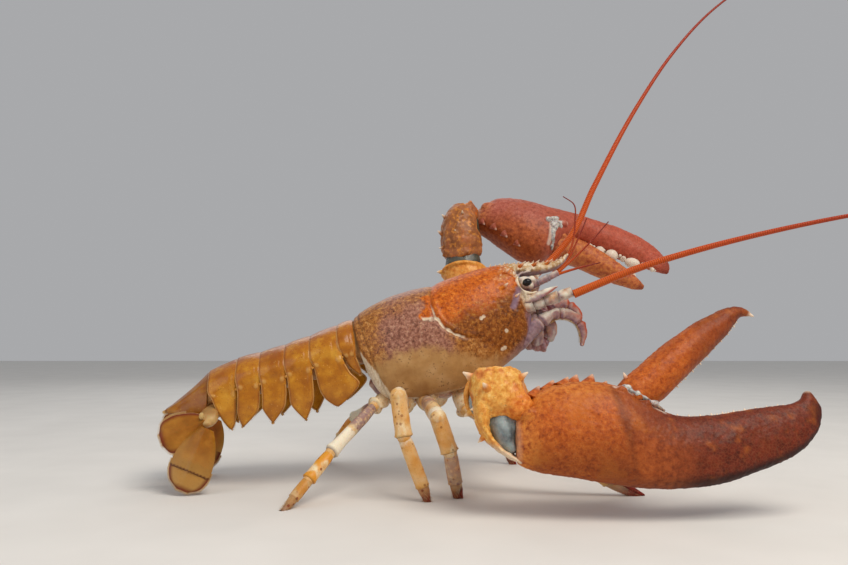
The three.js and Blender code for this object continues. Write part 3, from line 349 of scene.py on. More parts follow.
class Shader:
    """The nodes of one material. Most methods add a node and give its output. base is the colour so far."""

    def __init__(self, name, broad=None, blotch=None, fine=None, **surface):
        self.material = bpy.data.materials.new(name)
        self.material.use_nodes = True
        self.nodes = self.material.node_tree.nodes
        self.surface = self.nodes["Principled BSDF"]
        self.coordinates = self.nodes.new("ShaderNodeTexCoord").outputs["Object"]
        sizes = (broad, blotch, fine)
        self.broad, self.blotch, self.fine = (self.noise(*size) if size else None for size in sizes)
        for socket, value in surface.items():
            self.surface.inputs[socket].default_value = value

    def give(self, socket, value):
        if isinstance(value, bpy.types.NodeSocket):
            self.material.node_tree.links.new(value, socket)
        else:
            socket.default_value = value

    def mark(self, name):
        node = self.nodes.new("ShaderNodeAttribute")
        node.attribute_name = name
        return node.outputs["Fac"]

    def sum(self, kind, a, b=0.0, c=0.0):
        node = self.nodes.new("ShaderNodeMath")
        node.operation = kind
        for socket, value in zip(node.inputs, (a, b, c)):
            self.give(socket, value)
        return node.outputs[0]

    def times(self, a, b):
        return self.sum("MULTIPLY", a, b)

    def plus(self, a, b):
        return self.sum("ADD", a, b)

    def scale(self, value, low, high):
        """Spreads 0 to 1 over low to high."""
        return self.sum("MULTIPLY_ADD", value, high - low, low)

    def waver(self, value, amount, by=None):
        """Adds up to that amount of the blotches, or of another noise, either way."""
        return self.plus(value, self.scale(by or self.blotch, -amount, amount))

    def noise(self, size, detail=3.0, roughness=0.55, stretch=None):
        """Noise from 0 to 1 with features of that size in millimetres"""
        node = self.nodes.new("ShaderNodeTexNoise")
        node.inputs["Scale"].default_value = 1 / (size * MM)
        node.inputs["Detail"].default_value = detail
        node.inputs["Roughness"].default_value = roughness
        self.give(node.inputs["Vector"], self.stretched(stretch) if stretch else self.coordinates)
        return node.outputs["Fac"]

    def stretched(self, scale):
        node = self.nodes.new("ShaderNodeMapping")
        self.give(node.inputs["Vector"], self.coordinates)
        node.inputs["Scale"].default_value = scale
        return node.outputs[0]

    def cells(self, size, kind="F1"):
        """The distance to scattered points of that spacing in millimetres"""
        node = self.nodes.new("ShaderNodeTexVoronoi")
        node.feature = kind
        node.inputs["Scale"].default_value = 1 / (size * MM)
        self.give(node.inputs["Vector"], self.coordinates)
        return node.outputs["Distance"]

    def between(self, value, low, high):
        """0 below low, 1 above high and smooth between them. Low may be the larger one."""
        node = self.nodes.new("ShaderNodeMapRange")
        node.interpolation_type = "SMOOTHSTEP"
        for socket, number in zip(node.inputs, (value, low, high, 0.0, 1.0)):
            self.give(socket, number)
        return node.outputs["Result"]

    def mix(self, share, a, b):
        node = self.nodes.new("ShaderNodeMix")
        node.data_type = "RGBA"
        for socket, value in ((node.inputs[0], share), (node.inputs[6], a), (node.inputs[7], b)):
            self.give(socket, colour(value) if isinstance(value, str) else value)
        return node.outputs[2]

    def ramp(self, share, places, codes):
        """A run of colours, one for each place"""
        node = self.nodes.new("ShaderNodeValToRGB")
        elements = node.color_ramp.elements
        while len(elements) < len(places):
            elements.new(0.5)
        for element, place, code in zip(elements, places, codes.split()):
            element.position = place
            element.color = colour(code)
        self.give(node.inputs[0], share)
        return node.outputs[0]

    def coat(self, paint, share, strength=None):
        """Lays a colour over the base, as strongly as the share, or the share times a strength."""
        self.base = self.mix(share if strength is None else self.times(share, strength), self.base, paint)

    def freckle(self, paint, strength, waver, low, high):
        """Lays fine freckles over the base, gathered by the blotches."""
        self.coat(paint, self.between(self.waver(self.fine, waver), low, high), strength)

    def bump(self, height, depth, strength=1.0, under=None):
        """A relief of that depth in millimetres"""
        node = self.nodes.new("ShaderNodeBump")
        node.inputs["Strength"].default_value = strength
        node.inputs["Distance"].default_value = depth * MM
        self.give(node.inputs["Height"], height)
        if under is not None:
            self.give(node.inputs["Normal"], under)
        return node.outputs[0]

    def pits(self, spacing, width, depth, strength=1.0, under=None):
        return self.bump(self.between(self.cells(spacing), 0.0, width), depth, strength, under)

    def finish(self, roughness, relief=None):
        """Joins base, roughness and relief to the surface. A range of roughness follows the blotches."""
        if isinstance(roughness, tuple):
            roughness = self.scale(self.blotch, *roughness)
        self.give(self.surface.inputs["Base Color"], self.base)
        self.give(self.surface.inputs["Roughness"], roughness)
        if relief is not None:
            self.give(self.surface.inputs["Normal"], relief)
        return self.material


SHELL = {"Specular IOR Level": 0.2, "Coat Weight": 0.08, "Coat Roughness": 0.2, "Subsurface Weight": 0.05}


def carapace_material():
    """Orange before the groove, darkened to brown lower down as painted shade, rust and mauve behind, and
    soft tan at the bottom
    """
    s = Shader("back shell", (11, 4), (2.1, 6, 0.7), (0.75, 3, 0.6), **SHELL)
    wander = s.plus(s.scale(s.broad, -0.55, 0.55), s.scale(s.blotch, -0.5, 0.5))
    marks = ("front", "dim", "rust", "low")
    front, dim, rust, low = (s.between(s.plus(s.mark(name), wander), 0.2, 0.8) for name in marks)
    orange = s.ramp(s.blotch, (0.31, 0.44, 0.56, 0.72), "#722c04 #ac4e06 #ca6610 #e49238")
    runs = (
        "#432108 #743c0c #935317 #b87f36",
        "#5c3214 #8c531f #b07434 #d2a062",
        "#5e392c #875644 #a67460 #c69f84",
    )
    brown, back, mauve = (s.ramp(s.blotch, (0.32, 0.45, 0.55, 0.7), codes) for codes in runs)
    # The lower part of the front is darkened to brown as painted shade.
    s.base = s.mix(front, s.mix(rust, mauve, back), s.mix(dim, orange, brown))
    s.freckle("#43200e", 0.6, 0.26, 0.6, 0.67)
    specks = s.times(s.between(s.cells(1.9), 0.24, 0.14), s.between(s.broad, 0.42, 0.58))
    s.coat("#22120c", specks, s.scale(front, 0.75, 0.25))
    s.coat("#ecb877", s.between(s.cells(1.5), 0.2, 0.1), 0.34)
    s.coat(s.ramp(s.broad, (0.3, 0.5, 0.7), "#9c7040 #b08550 #c09866"), low)
    sparse = s.between(s.waver(s.noise(1.2, 2), 0.3, s.broad), 0.66, 0.72)
    s.coat("#4a2c18", sparse, s.scale(low, 0.0, 0.6))
    s.coat(s.ramp(s.fine, (0.3, 0.7), "#cbb595 #e8dac2"), s.between(s.waver(s.mark("cream"), 0.4), 0.3, 0.9))
    # Mauve: painted shade in the valley under each eye and under the beak, and mauve colour low on the
    # front.
    s.coat("#83697a", s.between(s.waver(s.mark("mauve"), 0.3), 0.2, 0.95))
    s.coat("#3c1f10", s.mark("shade"))
    s.coat("#f1dfc2", s.mark("tip"), 0.8)
    return s.finish((0.3, 0.54), s.bump(s.fine, 0.13, 0.8, s.pits(1.1, 0.35, 0.08)))


def tail_material():
    """Glossy ochre plates with a dark line inside a pale rim. The mark edge is the distance to the rim."""
    glossy = SHELL | {"Coat Weight": 0.34, "Coat Roughness": 0.13}
    s = Shader("tail shell", (9, 4), (2.4, 4, 0.6), (0.7, 2), **glossy)
    s.base = s.ramp(s.broad, (0.3, 0.46, 0.58, 0.76), "#96540a #aa660c #bb7814 #cf942e")
    s.coat("#9c4a0a", s.mark("top"), s.between(s.blotch, 0.35, 0.65))
    s.freckle("#7c3f0c", 0.5, 0.2, 0.6, 0.7)
    s.coat("#eec06f", s.between(s.cells(2.6), 0.14, 0.06), 0.35)
    edge = s.waver(s.mark("edge"), 0.25)
    s.coat("#7c3c0c", s.between(edge, 1.9, 1.0), 0.5)
    s.coat("#cf9a55", s.between(edge, 0.8, 0.45), 0.75)
    # cream: the pale hinges, partly a painted highlight.
    s.coat("#e3b468", s.mark("cream"), 0.6)
    s.coat("#5c3406", s.mark("dusk"), 0.5)
    return s.finish((0.22, 0.42), s.pits(1.5, 0.3, 0.05, 0.7, s.bump(s.fine, 0.07, 0.8)))


def fan_material():
    """The blades of the tail fan: yellow orange, a dark red brown line near the edge and a pale edge"""
    s = Shader("fan shell", (8, 4), (2, 4, 0.6), (0.6, 2), **SHELL | {"Subsurface Weight": 0.12})
    s.base = s.ramp(s.broad, (0.3, 0.5, 0.7), "#794709 #925a10 #a86e20")
    s.coat("#b08142", s.mark("pale"), 0.85)
    s.freckle("#8a4a10", 0.35, 0.2, 0.62, 0.7)
    edge = s.waver(s.mark("edge"), 0.3)
    s.coat("#66200f", s.between(edge, 3.4, 0.4), s.mark("rim"))
    s.coat("#b98f5c", s.between(edge, 0.32, 0.16), s.mark("rim"))
    s.coat("#53200f", s.mark("seam"), 0.85)
    s.coat("#e7c98d", s.mark("cream"))
    ribs = s.noise(1.2, 2, 0.5)
    return s.finish((0.28, 0.46), s.bump(ribs, 0.12, 0.7, s.bump(s.fine, 0.06, 0.8)))


def claw_material(name, palm, finger, edge_and_shade_code, patch):
    """Palm colours that turn to finger colours, with a fine net of lighter lines, a dark outer edge and
    painted shade
    """
    s = Shader(name, (16, 4), (2.6, 6, 0.68), (0.8, 3, 0.6), **SHELL | {"Coat Weight": 0.05})
    wander = s.plus(s.scale(s.broad, -0.6, 0.6), s.scale(s.blotch, -0.4, 0.4))
    palm_base = s.ramp(s.blotch, (0.3, 0.46, 0.6, 0.78), palm)
    finger_base = s.ramp(s.blotch, (0.3, 0.48, 0.66, 0.82), finger)
    s.base = s.mix(s.between(s.plus(s.mark("reach"), wander), 0.0, 1.0), palm_base, finger_base)
    s.coat(patch[0], s.between(s.broad, 0.5, 0.68), patch[1])
    s.coat("#efa874", s.between(s.cells(1.5, "DISTANCE_TO_EDGE"), 0.12, 0.02), 0.05)
    s.freckle("#5a2110", 0.5, 0.22, 0.6, 0.68)
    # The mark yellow: yellow colour, and on the cutter's palm a painted highlight along its top.
    s.coat("#dc9440", s.mark("yellow"), s.between(s.blotch, 0.3, 0.7))
    # The mark shade: dark edges and tips, and painted shade in the hinge crease and on the lower palm.
    s.coat(edge_and_shade_code, s.mark("shade"), 0.92)
    s.coat(s.ramp(s.blotch, (0.35, 0.65), "#7c3410 #b8602a"), s.mark("rust"), 0.6)
    s.coat(s.ramp(s.fine, (0.3, 0.7), "#cdb9a4 #ebe0d2"), s.mark("cream"))
    s.coat("#f0dcc4", s.mark("tip"), 0.85)
    return s.finish((0.44, 0.6), s.bump(s.fine, 0.11, 0.8, s.pits(1.3, 0.32, 0.08)))


def wrist_material():
    """Yellow orange with darker orange lobes, and brown painted shade on the far wrist"""
    s = Shader("wrist shell", (9, 4), (2.6, 5, 0.62), (0.8, 3, 0.6), **SHELL)
    s.base = s.ramp(s.blotch, (0.3, 0.46, 0.6, 0.76), "#c0742a #dc9640 #edb45c #f6d08c")
    s.coat(s.ramp(s.blotch, (0.35, 0.65), "#b35c22 #dc8a44"), s.between(s.broad, 0.54, 0.66))
    s.coat(s.ramp(s.blotch, (0.35, 0.65), "#c05c14 #e88c38"), s.mark("orange"), 0.9)
    # brown: the far wrist's brown, deepened as painted shade.
    s.coat(s.ramp(s.broad, (0.35, 0.65), "#7c4424 #a0603a"), s.mark("brown"), s.between(s.blotch, 0.3, 0.52))
    s.freckle("#6d3613", 0.55, 0.22, 0.62, 0.69)
    s.coat("#e9dfce", s.mark("cream"))
    s.coat("#f3e2c6", s.mark("tip"), 0.8)
    return s.finish((0.3, 0.5), s.bump(s.fine, 0.12, 0.8, s.pits(1.3, 0.32, 0.08)))


def leg_material():
    """Cream and orange articles with brown spots, white ends and a dark red tip"""
    s = Shader("leg shell", (7, 3), (2.2, 4, 0.6), (0.6, 2), **SHELL | {"Subsurface Weight": 0.1})
    s.base = s.ramp(s.broad, (0.32, 0.5, 0.68), "#d09a5c #e0bb86 #ecd6b0")
    streak = s.noise(4.5, 2, 0.5, (0.7, 1.0, 0.25))
    s.coat("#dc9432", s.mark("amber"), s.between(streak, 0.4, 0.56))
    s.coat("#efe3cb", s.between(s.waver(s.mark("cream"), 0.3), 0.35, 0.75))
    spots = s.between(s.waver(s.cells(3.6), 0.1, s.fine), 0.24, 0.16)
    s.coat("#84421a", spots, s.scale(s.mark("cream"), 0.85, 0.1))
    s.freckle("#9a5a25", 0.4, 0.2, 0.62, 0.7)
    # Mauve: painted shade on the upper legs under the body; the second pair's hands are mauve as well.
    s.coat("#8d7276", s.mark("mauve"), s.between(s.blotch, 0.2, 0.6))
    s.coat("#4a2a1c", s.mark("ring"))
    s.coat(s.ramp(s.blotch, (0.3, 0.7), "#4d100e #8a2a16"), s.mark("dark"))
    return s.finish((0.34, 0.55), s.pits(1.2, 0.3, 0.05, 0.7, s.bump(s.fine, 0.08, 0.8)))


def pale_material():
    """The pale shell of the face and mouthparts: cream, pink and orange patches"""
    s = Shader("pale shell", (5, 4), (1.8, 4, 0.6), (0.5, 2), **SHELL | {"Subsurface Weight": 0.15})
    s.base = s.ramp(s.broad, (0.32, 0.46, 0.58, 0.74), "#80605c #a58379 #c3a392 #dcc7b2")
    s.coat("#cf8f4a", s.mark("orange"), s.between(s.blotch, 0.3, 0.6))
    s.coat(s.ramp(s.blotch, (0.35, 0.65), "#6f5666 #9a8090"), s.mark("mauve"), 0.85)
    s.coat("#a84426", s.mark("red"), s.between(s.blotch, 0.2, 0.45))
    s.coat("#efe6d4", s.mark("cream"))
    s.freckle("#8a5434", 0.35, 0.2, 0.64, 0.7)
    # ring: dark joints of the maxillipeds, and painted shade in the troughs of the mouth's folds.
    s.coat("#6a3424", s.mark("ring"))
    return s.finish((0.32, 0.5), s.bump(s.fine, 0.08, 0.8))


def feeler_material():
    """Rings of red orange that darken to crimson at the tip. The mark ring counts the feeler's joints."""
    s = Shader("feeler", blotch=(4, 3), fine=(0.5, 2), **SHELL | {"Coat Weight": 0.1})
    run = s.waver(s.mark("reach"), 0.06)
    s.base = s.ramp(run, (0.0, 0.3, 0.6, 1.0), "#cc5a12 #b84410 #962a12 #64121a")
    ring = s.sum("PINGPONG", s.mark("ring"), 0.5)
    s.coat("#6a220c", s.between(ring, 0.2, 0.04), 0.5)
    s.coat("#e98a4c", s.between(s.fine, 0.55, 0.7), 0.3)
    return s.finish((0.38, 0.55), s.bump(s.between(ring, 0.0, 0.24), 0.1, 0.8))


def skin_material(name, codes, roughness, size=5):
    """Soft folded skin in a joint, in a dark and a light colour"""
    s = Shader(name, (size, 4), (1.1, 4, 0.6), **{"Subsurface Weight": 0.2, "Coat Weight": 0.1})
    s.base = s.ramp(s.broad, (0.3, 0.7), codes)
    return s.finish(roughness, s.bump(s.blotch, 0.35, 0.8))


def eye_material():
    """Black and glossy, with the faint facets of a compound eye"""
    s = Shader("eye", **{"Specular IOR Level": 0.25, "Coat Weight": 0.25, "Coat Roughness": 0.05})
    facets = s.cells(0.32)
    s.base = s.mix(s.between(s.noise(2.5, 2), 0.4, 0.7), "#050406", "#120b0f")
    return s.finish(s.scale(facets, 0.12, 0.24), s.bump(facets, 0.03, 0.5))


def hair_material():
    s = Shader("hair", (1.5, 2), (3, 2))
    s.base = s.ramp(s.waver(s.mark("share"), 0.2, s.broad), (0.0, 0.6, 1.0), "#a8793f #c7a36c #dcc79c")
    return s.finish((0.5, 0.7))


BACK_SHELL = carapace_material()
TAIL_SHELL = tail_material()
FAN_SHELL = fan_material()
CUTTER_SHELL = claw_material(
    "cutter shell",
    "#7c3008 #ab4e10 #c5661f #de8c46",
    "#3f1207 #60200c #762c15 #8e4325",
    "#220806",
    ("#cc7020", 0.5),
)
CRUSHER_SHELL = claw_material(
    "crusher shell",
    "#743226 #9a4c3c #ad6050 #c27e6a",
    "#8c3826 #a64a36 #b85a44 #ca765c",
    "#3c100a",
    ("#96482a", 0.4),
)
WRIST_SHELL = wrist_material()
LEG_SHELL = leg_material()
PALE_SHELL = pale_material()
FEELER_SHELL = feeler_material()
JOINT_SKIN = skin_material("joint skin", "#5c4550 #eadfd4", (0.3, 0.55), 2.2)
WRIST_SKIN = skin_material("wrist skin", "#434b50 #a4b0b0", (0.16, 0.36), 7)
# A darker copy of the wrist skin for the far wrist: painted shade.
SHADED_WRIST_SKIN = skin_material("shaded wrist skin", "#24231f #5c5a4c", (0.2, 0.4))
TAIL_SKIN = skin_material("tail skin", "#8a5626 #c98f4e", (0.45, 0.65))
EYE_BLACK = eye_material()
HAIR = hair_material()


# The body's frame: along the carapace, to the side and up from its axis

PITCH = math.radians(17)
FORWARD = np.array([math.cos(PITCH), 0, math.sin(PITCH)])
UPWARD = np.array([-math.sin(PITCH), 0, math.cos(PITCH)])
SIDEWAYS = np.array([0, 1, 0])
REAR_MIDDLE = np.array([-41, 0, 76])


def body(along, side, up):
    along, side, up = np.broadcast_arrays(along, side, up)
    return REAR_MIDDLE + along[..., None] * FORWARD + side[..., None] * SIDEWAYS + up[..., None] * UPWARD


def body_place(points):
    """How far points are along the body, to its side and up"""
    local = points - REAR_MIDDLE
    return local @ FORWARD, local[:, 1], local @ UPWARD


def body_rows(rows, sign):
    """Rows of along, side, up and half sizes as rows of x, y, z and half sizes"""
    rows = np.asarray(rows, float)
    return np.hstack([body(rows[:, 0], sign * rows[:, 1], rows[:, 2]), rows[:, 3:]])


# The carapace: rows are along, top, bottom and half width.
CARAPACE = [
    [4, 21.5, -13, 22.5],
    [7, 23.6, -22.5, 25],
    [11.5, 25.2, -30, 27],
    [19, 27, -33, 28.9],
    [28, 28.3, -34.4, 30.3],
    [38, 28.8, -35.4, 31],
    [47, 28.3, -36.3, 31],
    [53, 27.6, -36.5, 30.7],
    [56.5, 27.1, -36.4, 30.2],
    [60, 27.9, -36, 29.8],
    [68, 28.6, -34.8, 28.7],
    [77, 29, -32.6, 27],
    [85, 29, -30, 25],
    [92.4, 28.4, -27, 22.8],
    [99, 27.4, -23, 20.4],
    [104, 26.2, -18.4, 18],
    [107, 24.4, -13.4, 15],
]
WIDEST_SHARE, MARGIN_ANGLE, MARGIN_SHARE, BELLY_RISE, ROUNDNESS = 0.42, math.radians(56.25), 0.64, 5, 0.93
ROSTRUM = [
    [86, 28.6, 19, 8],
    [97, 27.8, 18.6, 9.6],
    [106, 26, 18, 8.2],
    [114, 24.2, 16.2, 6.4],
    [122, 22, 14.6, 5],
    [130, 20.2, 14.4, 3.8],
    [137, 20.2, 16.6, 2.4],
    [142, 22.2, 20.6, 0.9],
]
# Spines beside the rostrum and behind each eye: along, side and up of the root, then length and radius
HEAD_SPINES = [
    [110, 6.6, 22, 6.5, 1.6],
    [119, 5, 20.6, 6, 1.4],
    [128, 3.6, 19.4, 5, 1.1],
    [99, 13.6, 20.5, 5.5, 1.5],
    [99.5, 17.6, 4.5, 5.5, 1.7],
    [95.5, 19.6, 12.6, 4.6, 1.9],
]
# The cervical groove: along and up
GROOVE = [[72, -11.5], [66, -9.5], [59.5, -5], [54.5, 1], [52, 8], [51.6, 15], [53, 21], [55, 25.4]]
GROOVE_TOP = (56, 0, 27.7)
# Where the speckled back ends and the pale side begins, and where the orange of the front ends: along and up
PALE_LINE = [[0, -9], [9, -8], [27, -7], [44, -8], [60, -16], [70, -22], [84, -26], [104, -29]]
FRONT_LINE = [[0, -8], [60, -9], [69, -12], [77, -18], [85, -23], [107, -26]]
# The raised rim round the eye: along, side, up and radius
ORBIT = [
    [115.4, 6.4, 18, 0.6],
    [110.6, 9.4, 18.4, 0.7],
    [106.9, 12.6, 17, 0.85],
    [105.3, 15, 14.2, 0.9],
    [105.5, 16.4, 10.4, 0.9],
    [107.4, 17, 6.8, 0.9],
    [111.4, 16.6, 4.8, 0.8],
    [114.4, 15, 4.6, 0.7],
]
# The rear margin: up and along
REAR_EDGE = [[-36, 26], [-33, 19], [-30, 11.5], [-22.5, 6.6], [-13, 3.8], [30, 3.6]]
# The short crease in front of the groove's lower end, the valley under the eye, the pale streak and the
# orange patch behind the groove, and the white spots: along and up
CREASE = [[71, -4], [72.2, -9], [74, -15]]
VALLEY = [[104.6, 9.4], [101.4, 5], [98, 0.4]]
STREAK = [[45, 8.4], [51, 6.4]]
PATCH = [[50.8, 19], [48.6, 13], [47.4, 10.5]]
WHITE_SPOTS = [[77.2, -0.6], [78.8, -0.2], [89.3, -11.9], [84, -21.5], [85.4, -21.2]]


def carapace_side(along, up):
    """Half width of the carapace at a place along it and a height"""
    top, bottom, half = (column(CARAPACE, along, k) for k in (1, 2, 3))
    wide = bottom + WIDEST_SHARE * (top - bottom)
    above = clamp((up - wide) / (top - wide)) ** (1 / ROUNDNESS)
    below = np.arcsin(clamp((wide - up) / (wide - bottom))) / (math.pi / 2)
    upper = half * np.sqrt(1 - above**2) ** ROUNDNESS
    return np.where(up >= wide, upper, half * (1 - (1 - MARGIN_SHARE) * below**2))


def carapace_shell():
    along = np.linspace(4, 107, 120)[:, None]
    top, bottom, half = (column(CARAPACE, along, k) for k in (1, 2, 3))
    c, s = circle(128)
    wide = bottom + WIDEST_SHARE * (top - bottom)
    dip = np.arcsin(clamp(-s))
    wall = clamp(dip / MARGIN_ANGLE)
    floor = clamp((dip - MARGIN_ANGLE) / (math.pi / 2 - MARGIN_ANGLE))
    side = np.where(s >= 0, signed_power(c, ROUNDNESS), np.sign(c) * (1 - (1 - MARGIN_SHARE) * wall**2))
    side = np.where(floor > 0, np.sign(c) * MARGIN_SHARE * (1 - floor), side)
    above = wide + (top - wide) * signed_power(s, ROUNDNESS)
    below = wide - (wide - bottom) * np.sin(wall * math.pi / 2)
    up = np.where(floor > 0, bottom + BELLY_RISE * floor, np.where(s >= 0, above, below))
    return lattice(body(along, half * side, up), poles=[body(3.5, 0, 4), body(106, 0, 6)])


def rostrum():
    along = np.linspace(ROSTRUM[0][0], ROSTRUM[-1][0], 60)
    top, bottom, half = (column(ROSTRUM, along, k) for k in (1, 2, 3))
    rows = np.column_stack([body(along, 0, (top + bottom) / 2), (top - bottom) / 2, half])
    return limb(rows, UPWARD, 60, 24, (0.5, 0.9))


def head_spines():
    """The thorns beside the beak and behind the eyes, and two rows of small pale ones along the crown"""
    made = []
    for along, side, up, length, radius in HEAD_SPINES:
        for sign in SIDES.values():
            root = body(along - 1.5, sign * (side - 1.2), up - 0.4)
            tip = body(along + length * 0.8, sign * (side + length * 0.28), up + length * 0.42)
            made.append(spine(root, tip, radius).mark(front=1, cream=0.2))
    for k in range(16):
        along, sway = 93 + k * 2.9, 3.4 - 0.12 * k
        top = value_at(ROSTRUM, along, 1) - 0.3
        for sign in SIDES.values():
            root = body(along, sign * sway, top - 1.4)
            tip = body(along + 1.6, sign * sway * 1.1, top + (1.7, 0.9, 1.3)[k % 3])
            made.append(spine(root, tip, 0.7).mark(front=1, low=0.6, cream=0.45))
    return made


def rims():
    """Raised edges: round each eye, down the front and along the lower margin"""
    made = []
    for sign in SIDES.values():
        front = [[107.2, 17, 6.4, 0.9], [107, 15.6, -3, 0.9], [105.6, 14.4, -10, 0.9], [102, 14.2, -17, 0.8]]
        made += [limb(body_rows(path, sign), (0, 1, 0), 30, 10) for path in (ORBIT, front)]
        along = np.linspace(12, 103, 40)
        bottom, half = column(CARAPACE, along, 2), column(CARAPACE, along, 3)
        lower = np.column_stack([body(along, sign * half * MARGIN_SHARE, bottom + 0.4), np.full(40, 0.9)])
        made.append(limb(lower, (0, 1, 0), 80, 8))
    return made


def on_side(path):
    """Points of the carapace's left side, given along and up"""
    return np.array([body(a, carapace_side(a, u), u) for a, u in path])


def back_places(points):
    """Where points of the back shell are, and how far from its grooves and edges"""
    p = SimpleNamespace(points=points)
    p.along, p.side, p.up = body_place(points)
    p.mirrored = points * [1, 0, 1] + np.abs(p.side)[:, None] * [0, 1, 0]
    p.ragged = noise(points, 2.2, 6)
    p.groove = line_distance(p.mirrored, np.vstack([on_side(GROOVE), body(*GROOVE_TOP)]))
    p.crease = line_distance(p.mirrored, on_side(CREASE))
    p.valley = line_distance(p.mirrored, on_side(VALLEY)) + 0.5 * p.ragged
    p.deep = smooth(-13, -6, p.up)
    p.rear = np.abs(p.along - (8.2 - 0.09 * (p.up - 10)))
    p.crown = smooth(84, 100, p.along) * smooth(12, 20, p.up)
    p.beak = smooth(103, 108, p.along)
    p.over = p.up - column(CARAPACE, p.along, 2)
    return p


def back_relief(p):
    """The groove with its raised edge, the creases, and the grains of the crown, cheek and front"""
    cheek = smooth(70, 100, p.along) * smooth(16, 4, p.up) * smooth(-20, -8, p.up)
    relief = -1.0 * bell(p.groove, 1.1) * p.deep * (1 - 0.6 * smooth(18, 26, p.up))
    relief += 0.3 * bell(p.groove - 2.4, 1.2) * p.deep * smooth(26, 20, p.up)
    relief -= 0.5 * bell(p.rear, 0.8) + 0.35 * bell(p.crease, 1.1)
    relief += 0.9 * grains(p.points, 3.4) * p.crown + 0.4 * grains(p.points, 3.1, 3) * cheek
    relief += 0.22 * noise(p.points, 7) + 0.1 * noise(p.points, 2.3, 1)
    relief += 0.14 * grains(p.points, 1.7, 5) * smooth(48, 60, p.along) * smooth(-16, -4, p.up)
    return relief - 0.8 * bell(p.valley, 2.4)


def back_cream(p):
    """The pale lines, spots and rims"""
    chalk = 0.78 + 0.4 * noise(p.points, 2.4, 4)
    streak = line_distance(p.mirrored, on_side(STREAK)) + 1.1 * p.ragged
    spots = [np.linalg.norm(p.mirrored - spot, axis=1) for spot in on_side(WHITE_SPOTS)]
    orbit = line_distance(p.mirrored, body(*np.array(ORBIT)[:, :3].T))
    band = 1.2 + 0.32 * np.clip(8 - p.up, 0, 20)
    rear_rim = smooth(band, band - 2.2, p.along - column(REAR_EDGE, p.up, 1))
    cream = smooth(1.4, 0.2, p.groove + 0.55 * p.ragged) * p.deep * smooth(26, 8, p.up) * chalk
    cream += smooth(2.8, 0.4, streak) * chalk
    spot = np.min(spots, axis=0) + 0.3 * p.ragged
    cream += smooth(2.0, 0.9, spot) * 0.75 + smooth(1.4, 0.4, p.crease) * 0.3
    cream += rear_rim * (0.85 + 0.4 * noise(p.points * [2.4, 2.4, 0.3], 2, 2))
    cream += smooth(101, 105.4, p.along) * smooth(10, 6, p.up) * smooth(-8, 0, p.up) * 0.5
    cream += smooth(2.0, 0.8, orbit) * chalk * 0.7
    cream += p.crown * 0.75 * grains(p.points, 2.2, 8) + p.crown * 0.15 + p.beak * (0.36 + 0.3 * p.ragged)
    cream += smooth(2.6, 0.6, p.over) * smooth(90, 60, p.along) * (np.abs(p.side) > 12) * 0.45
    return clamp(cream)


def back_marks(p):
    top, bottom = column(ROSTRUM, p.along, 1), column(ROSTRUM, p.along, 2)
    face = p.beak * smooth(0.7, 0.1, (p.up - bottom) / (top - bottom)) * (np.abs(p.side) < 14)
    jaw = smooth(66, 92, p.along) * smooth(9, 2, p.over) * 0.5
    jaw += smooth(100.6, 104.6, p.along) * smooth(2, -8, p.up) * 0.6
    patch = line_distance(p.mirrored, on_side(PATCH)) + 1.6 * p.ragged
    patch += 1.8 * noise(p.points, 5, 9) + 0.2 * np.clip(p.up - 10, 0, 14)
    width = 1.3 + 9 * smooth(-6, -16, p.up)
    ahead = p.along - column([[u, a] for a, u in GROOVE], p.up, 1)
    front = smooth(-width, width, ahead) * smooth(-6, 5, p.up - column(FRONT_LINE, p.along, 1))
    low = smooth(11, -11, p.up - column(PALE_LINE, p.along, 1))
    rust = 0.85 * smooth(30, 8, p.along) + 0.4 * smooth(8, 22, p.up) + 0.8 * smooth(46, 64, p.along)
    shade = 0.35 * bell(p.groove, 0.7) * p.deep * smooth(4, 9, p.up) + 0.3 * bell(p.rear, 0.5)
    return {
        "front": np.maximum(front, smooth(8, 1.4, patch) * smooth(6, 10, p.up)),
        # Painted shade: the front darkens lower down.
        "dim": smooth(17, -6, p.up + 0.15 * (70 - p.along)) * 0.9,
        "rust": clamp(rust),
        "low": np.maximum(low, 0.95 * p.beak + 0.4 * p.crown * (1 - p.beak)),
        "cream": back_cream(p),
        # mauve: painted shade in the valley under the eye and under the beak, mauve colour at the jaw.
        "mauve": clamp(smooth(4, 0.6, p.valley) * 0.8 + face * 0.7 + jaw),
        "shade": clamp(shade),
    }


def dressed_carapace():
    skin = fuse([carapace_shell(), rostrum(), *rims()], 0.55, 3)
    places = back_places(skin.points)
    skin.mark(**back_marks(places)).push(back_relief(places))
    return joined([skin, *head_spines()])


piece("back_shell", dressed_carapace(), BACK_SHELL, "back_shell", "carapace")

# The sternum between the legs: rows are along, middle height, half height and half width.
STERNUM = [
    [6, -18, 5, 8],
    [12, -27, 6, 12],
    [24, -31.5, 6.5, 14.5],
    [40, -33.2, 6.5, 15],
    [56, -33, 6.5, 14],
    [70, -30, 6, 12],
    [82, -27.5, 5.5, 10],
    [92, -22.5, 5, 8],
]


def sternum():
    rows = np.array([[*body(a, 0, u), high, half] for a, u, high, half in STERNUM])
    skin = fuse([limb(rows, UPWARD, 90, 60, (3, 3))], 0.8, 2)
    along, side, up = body_place(skin.points)
    ridge = np.cos((along - 14) / 15.5 * 2 * math.pi)
    skin.push((1.1 * ridge - 1.0 * bell(side, 1.6) + 0.2 * noise(skin.points, 4)) * smooth(0, -8, up + 24))
    return skin.mark(orange=0.25, mauve=smooth(0.2, -0.8, ridge) * 0.5)


piece("sternum_plates", sternum(), PALE_SHELL, "pale_shell", "sternum")

